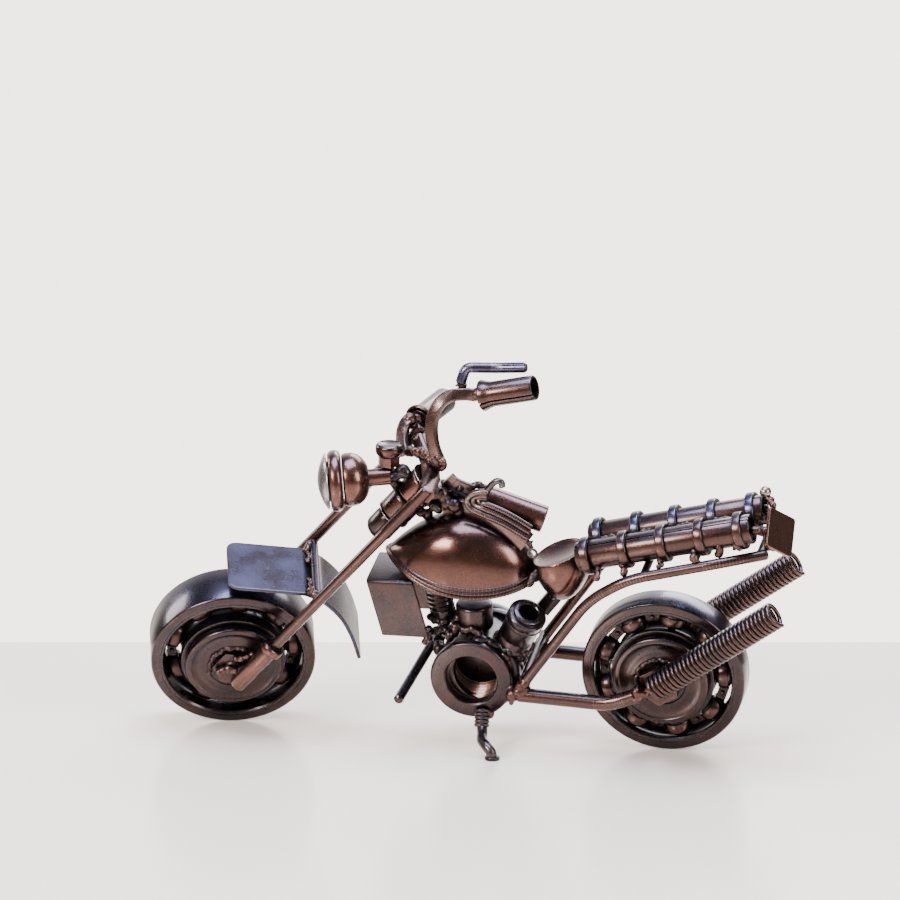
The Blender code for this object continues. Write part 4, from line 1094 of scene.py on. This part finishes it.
class MOTORCYCLE_OT_fork(PieceOperator):
    """Build the fork legs, their lower sockets, the crown and the welds at the hub"""
    bl_idname = "motorcycle.fork"
    bl_label = "Fork"

    def build(self, sizes):
        for label, side in SIDES:
            y = LEG_SPREAD * side
            leg = disc_profile(LEG_RADIUS, 13.9, 78.0, 0.3)
            finish(f"fork_rod_{label}", turned(leg, Z_AXIS, (LEG_SETBACK, y, 0), 32), FORK, "bronze",
                   "fork", [f"fork_leg_{label}"])
            socket = [(0, -2.2), (1.5, -2.2), (1.9, -1.9), (2.2, -1.4), (2.2, 11.6), (2.8, 12.1),
                      (3.0, 12.5), (3.0, 13.7), (2.8, 14.1), (2.4, 14.3), (1.5, 14.3), (1.5, 13.6), (0, 13.6)]
            finish(f"fork_leg_socket_{label}", turned(socket, Z_AXIS, (LEG_SETBACK, y, 0), 40), FORK,
                   "copper", "fork", [f"fork_socket_{label}"])
            inner = y - side * 2.2
            weld(f"weld_hub_{label}", [([(-9.6, inner, -2.4), (-5.4, inner, 1.6), (-3.4, inner, 5.4)], 1.5),
                                       ([(-8.4, inner, 3.4), (-6.4, inner, 6.6)], 1.1)], FORK, "fork",
                 131 + side)
        crown = swept([(-3.4, -10.8, 75.4), (-1.0, -3.0, 75.4), (-1.0, 3.0, 75.4), (-3.4, 10.8, 75.4)],
                      strip_outline(4.2, 3.8, 1.1), Z_AXIS)
        finish("crown_bar", crown, FORK, "copper", "fork", ["fork_crown"])
        weld("weld_crown", [([(-4.0, s * 10.2, 75.4), (-4.4, s * 12.0, 75.0)], 1.9) for s in (-1, 1)]
             + [([(-2.2, 0, 77.4), (-4.2, 3.0, 77.6)], 1.3)], FORK, "fork", 141)


class MOTORCYCLE_OT_handlebar(PieceOperator):
    """Build the bent strip handlebar, the rolled grips and the brake lever"""
    bl_idname = "motorcycle.handlebar"
    bl_label = "Handlebar"

    def build(self, sizes):
        left = smooth([(-0.8, -1.4, 79.3), (-5.1, 0.8, 82.0), (-8.2, 3.6, 85.6), (-9.4, 5.6, 89.8),
                       (-8.2, 6.9, 93.2), (-5.4, 6.95, 96.0), (-3.2, 6.9, 97.2)])
        right = smooth([(-6.3, 6.2, 72.1), (-7.2, 8.5, 72.6), (-7.9, 11.0, 73.6), (-8.3, 13.0, 75.2),
                        (-7.5, 14.9, 76.6)])
        bar = strip_outline(3.2, 1.9, 0.5)
        finish("bar_strip_left", swept(left, bar, (0.7, 0.6, 0)), FORK, "bronze", "fork",
               ["handlebar_arm_left"])
        finish("bar_strip_right", swept(right, bar, (0.7, 0.6, 0)), FORK, "bronze", "fork",
               ["handlebar_arm_right"])
        grips = (("left", Vector((-2.0, 6.85, 97.8)), Vector((0.50, -0.25, 0.83))),
                 ("right", Vector((-5.0, 15.6, 76.7)), Vector((0.55, 0.83, 0.11))))
        for label, start, axis in grips:
            wall = [(2.55, 1.2), (3.5, 0.35), (3.9, 0.55), (4.0, 0.9), (3.5, 2.2), (3.2, 3.6), (3.2, 14.6),
                    (3.05, 14.9), (2.55, 14.9)]
            grip = turned(wall, axis.normalized(), start, 72, 350.0, 200)
            merge(grip, turned(disc_profile(2.6, 0.4, 13.2, 0.2, 1.5), axis.normalized(), start, 40))
            finish(f"rolled_grip_{label}", grip, FORK, "bronze", "fork", [f"grip_{label}"])
        lever = bent([(-7.2, 9.2, 96.5), (-8.3, 11.2, 100.3), (-2.0, 10.6, 105.2), (2.6, 8.2, 111.0)], 1.6)
        finish("lever_rod", rod(lever, 1.35, (0.3, 1, 0.1)), FORK, "blued_and_top_reflection", "fork", ["brake_lever"])
        weld("weld_bars", [([(-0.6, -1.2, 78.4), (-2.6, 1.6, 78.4), (-4.6, 4.6, 75.6), (-6.2, 6.2, 73.4)], 1.6),
                           ([(-1.2, -1.6, 80.2), (-3.8, 0.4, 81.4)], 1.2),
                           ([(-2.6, 6.9, 97.2), (-1.6, 6.8, 98.6)], 1.9),
                           ([(-7.4, 15.0, 76.8), (-4.6, 16.2, 76.8)], 1.9),
                           ([(-6.2, 8.0, 95.0), (-7.0, 9.4, 97.0)], 1.5)], FORK, "fork", 151)


class MOTORCYCLE_OT_headlight(PieceOperator):
    """Build the headlight's shell, rim and domed lens and the gauge above it"""
    bl_idname = "motorcycle.headlight"
    bl_label = "Headlight"

    def build(self, sizes):
        axis = LAMP_DIRECTION
        centre = LAMP_CENTRE
        shell = [(0, -9.2), (2.0, -9.2), (2.2, -9.0), (2.2, -3.6), (3.4, -3.4), (4.6, -2.8), (5.6, -2.0),
                 (6.3, -1.0), (6.7, 0.1), (6.8, 0.6), (6.8, 2.0), (6.6, 2.6), (6.2, 2.9), (0, 2.9)]
        finish("lamp_shell", turned(shell, axis, centre, 112), FORK, "copper", "fork",
               ["headlight_shell"])
        rim = [(5.4, 3.2), (6.6, 3.15), (7.3, 3.4), (7.7, 3.9), (7.85, 4.6), (7.8, 5.3), (7.5, 6.0),
               (7.0, 6.35), (6.6, 6.4), (5.4, 6.4)]
        finish("lamp_rim", turned(rim, axis, centre, 112), FORK, "copper", "fork", ["headlight_rim"])
        lens = [(0, 3.2), (5.1, 3.2), (5.1, 6.7), (7.1, 6.75), (7.2, 6.95), (6.8, 7.35), (6.2, 7.7),
                (5.0, 8.3), (3.6, 8.8), (2.0, 9.2), (0, 9.4)]
        finish("lamp_lens", turned(lens, axis, centre, 112), FORK, "lens", "fork", ["headlight_lens"])
        up = Vector((-0.56, 0.34, 0.76)).normalized()
        base = Vector((-9.6, 2.2, 69.6))
        cap = bmesh.new()
        nut = turned(disc_profile(2.9, 0.0, 2.4, 0.3), up, base, 72)
        merge(cap, hexed(nut, 5.0, 1.4, base, up))
        top = [(0, 2.2), (2.5, 2.2), (3.0, 2.8), (3.4, 3.5), (3.4, 5.1), (3.15, 5.5), (2.7, 5.7),
               (2.5, 5.55), (0, 5.55)]
        merge(cap, turned(top, up, base, 72))
        finish("gauge_cap", cap, FORK, "bronze", "fork", ["gauge"])
        rear = centre - axis * 8.6
        weld("weld_lamp", [([rear, rear + Vector((3.0, 0.6, 3.4))], 1.9),
                           ([(-8.8, 1.6, 68.2), (-4.6, 0.8, 66.4)], 1.5),
                           ([(-9.8, 2.4, 69.2), (-8.6, 1.6, 68.0)], 1.6)], FORK, "fork", 161, "dark_weld")


class MOTORCYCLE_OT_fender(PieceOperator):
    """Build the fender's creased strip, its cross rod and their welds"""
    bl_idname = "motorcycle.fender"
    bl_label = "Fender"

    def build(self, sizes):
        crease = Vector((-6.6, 0, 30.2))
        rear = smooth([crease, (-1.5, 0, 30.6), (5.6, 0, 28.9), (12.0, 0, 25.2), (17.6, 0, 20.8)], 10)
        flat = [Vector((-24.0, 0, 20.7)).lerp(crease, i / 12) for i in range(12)]
        path = flat + rear
        lengths = [0.0]
        for a, b in zip(path, path[1:]):
            lengths.append(lengths[-1] + (b - a).length)
        total = lengths[-1]

        def point_at(u, v):
            want = u * total
            i = max(k for k in range(len(path) - 1) if lengths[k] <= want + 1e-6)
            t = (want - lengths[i]) / (lengths[i + 1] - lengths[i])
            return path[i].lerp(path[i + 1], t) + Vector((0, 8.8 * v, 0))

        strip = sheet(point_at, 90, 40, 2.6, 17.6, total)
        obj = finish("fender_strip", strip, FORK, "shade", "fork", ["fender"], False)
        bevelled(walled(obj, 0.9), 0.22)
        cross = rod([(LEG_SETBACK, -10.8, 32.2), (LEG_SETBACK, 10.8, 32.2)], 1.1, Z_AXIS)
        finish("fender_mount_rod", cross, FORK, "dark", "fork", ["fender_cross_rod"])
        runs = [([(-6.2, s * 8.0, 31.0), (-5.0, s * 10.6, 32.2)], 1.3) for s in (-1, 1)]
        runs += [([(-6.0, s * 3.0, 31.2), (-5.6, s * 6.0, 31.4)], 0.9) for s in (-1, 1)]
        weld("weld_fender", runs, FORK, "fork", 171)


# Stage

class MOTORCYCLE_OT_stage(bpy.types.Operator):
    """Add the pale floor, the room around it, the soft lights and the camera"""
    bl_idname = "motorcycle.stage"
    bl_label = "Stage"

    def execute(self, context):
        floor = bmesh.new()
        bmesh.ops.create_grid(floor, x_segments=1, y_segments=1, size=FLOOR_REACH)
        place = (Matrix.Translation(FLOOR_BACK_EDGE) @ Matrix.Rotation(radians(CAMERA_AZIMUTH), 4, 'Z')
                 @ Matrix.Translation((0, -FLOOR_REACH, 0)))
        bmesh.ops.transform(floor, matrix=place, verts=floor.verts)
        mesh = bpy.data.meshes.new("stage_floor")
        floor.to_mesh(mesh)
        floor.free()
        mesh.materials.append(pale_material("pale_floor", (0.90, 0.80, 0.755), 0.17, 3.0))
        obj = bpy.data.objects.new("stage_floor", mesh)
        context.scene.collection.objects.link(obj)
        self.room(context)
        for light in LIGHTS:
            self.area(*light)
        self.camera(context)
        return {'FINISHED'}

    def room(self, context):
        """Pale surroundings for the eye; a bright back wall and a dim room for the metal."""
        world = bpy.data.worlds.new("soft_room")
        world.use_nodes = True
        tree = world.node_tree
        dim = tree.nodes["Background"]
        dim.inputs["Color"].default_value = (0.95, 0.88, 0.82, 1.0)
        ray = node(tree, 'ShaderNodeTexCoord').outputs["Generated"]
        behind = node(tree, 'ShaderNodeVectorMath', {0: ray, 1: WALL_DIRECTION}, operation='DOT_PRODUCT')
        glow = ranged(tree, behind.outputs["Value"], 0.70, 0.96, 0.30, 2.4)
        tree.links.new(glow, dim.inputs["Strength"])
        pale = node(tree, 'ShaderNodeBackground', {"Color": (1.0, 0.90, 0.80, 1.0), "Strength": 4.2})
        seen = node(tree, 'ShaderNodeLightPath').outputs["Is Camera Ray"]
        room = node(tree, 'ShaderNodeMixShader', {0: seen, 1: dim.outputs[0], 2: pale.outputs[0]})
        tree.links.new(room.outputs[0], tree.nodes["World Output"].inputs["Surface"])
        context.scene.world = world

    def area(self, name, location, target, size, power, colour):
        light = bpy.data.lights.new(name, 'AREA')
        light.shape = 'RECTANGLE'
        light.size, light.size_y = size
        light.energy = power
        light.color = colour
        obj = bpy.data.objects.new(name, light)
        obj.location = location
        obj.rotation_euler = (Vector(location) - Vector(target)).to_track_quat('Z', 'Y').to_euler()
        bpy.context.scene.collection.objects.link(obj)

    def camera(self, context):
        azimuth, elevation, distance = radians(CAMERA_AZIMUTH), radians(CAMERA_ELEVATION), 2500.0
        right = Vector((cos(azimuth), sin(azimuth), 0))
        back = Vector((sin(azimuth) * cos(elevation), -cos(azimuth) * cos(elevation), sin(elevation)))
        up = back.cross(right)
        target = Vector(REAR_CENTRE) - right * 54.6 + up * 55.6
        data = bpy.data.cameras.new("camera")
        data.sensor_width = 36.0
        data.lens = 36.0 * distance / (900 / 3.95)
        data.clip_start, data.clip_end = 0.1, 20.0
        obj = bpy.data.objects.new("camera", data)
        turn = Matrix((right, up, back)).transposed().to_4x4()
        obj.matrix_world = Matrix.Translation((target + back * distance) * MM) @ turn
        context.scene.collection.objects.link(obj)
        context.scene.camera = obj


PIECES = (MOTORCYCLE_OT_wheels, MOTORCYCLE_OT_frame, MOTORCYCLE_OT_seat, MOTORCYCLE_OT_tail,
          MOTORCYCLE_OT_saddle, MOTORCYCLE_OT_tank, MOTORCYCLE_OT_front_cover, MOTORCYCLE_OT_engine,
          MOTORCYCLE_OT_exhausts, MOTORCYCLE_OT_side_stand, MOTORCYCLE_OT_steering_head,
          MOTORCYCLE_OT_fork, MOTORCYCLE_OT_handlebar, MOTORCYCLE_OT_headlight, MOTORCYCLE_OT_fender,
          MOTORCYCLE_OT_stage)


class MOTORCYCLE_PT_panel(bpy.types.Panel):
    """Sidebar panel with the settings and one button for each group of pieces"""
    bl_idname = "MOTORCYCLE_PT_panel"
    bl_label = "Motorcycle"
    bl_space_type = 'VIEW_3D'
    bl_region_type = 'UI'
    bl_category = "Motorcycle"

    def draw(self, context):
        layout = self.layout
        for settings in (context.scene.motorcycle_plating, context.scene.motorcycle_sizes):
            box = layout.box()
            for name in settings.__annotations__:
                box.prop(settings, name)
        for piece in PIECES:
            layout.operator(piece.bl_idname)


CLASSES = (MotorcyclePlating, MotorcycleSizes, *PIECES, MOTORCYCLE_PT_panel)


def register():
    for cls in CLASSES:
        bpy.utils.register_class(cls)
    bpy.types.Scene.motorcycle_plating = bpy.props.PointerProperty(type=MotorcyclePlating)
    bpy.types.Scene.motorcycle_sizes = bpy.props.PointerProperty(type=MotorcycleSizes)


def unregister():
    del bpy.types.Scene.motorcycle_sizes
    del bpy.types.Scene.motorcycle_plating
    for cls in reversed(CLASSES):
        bpy.utils.unregister_class(cls)


def main():
    register()
    for piece in PIECES:
        group, name = piece.bl_idname.split(".")
        getattr(getattr(bpy.ops, group), name)()


if __name__ == "__main__":
    main()
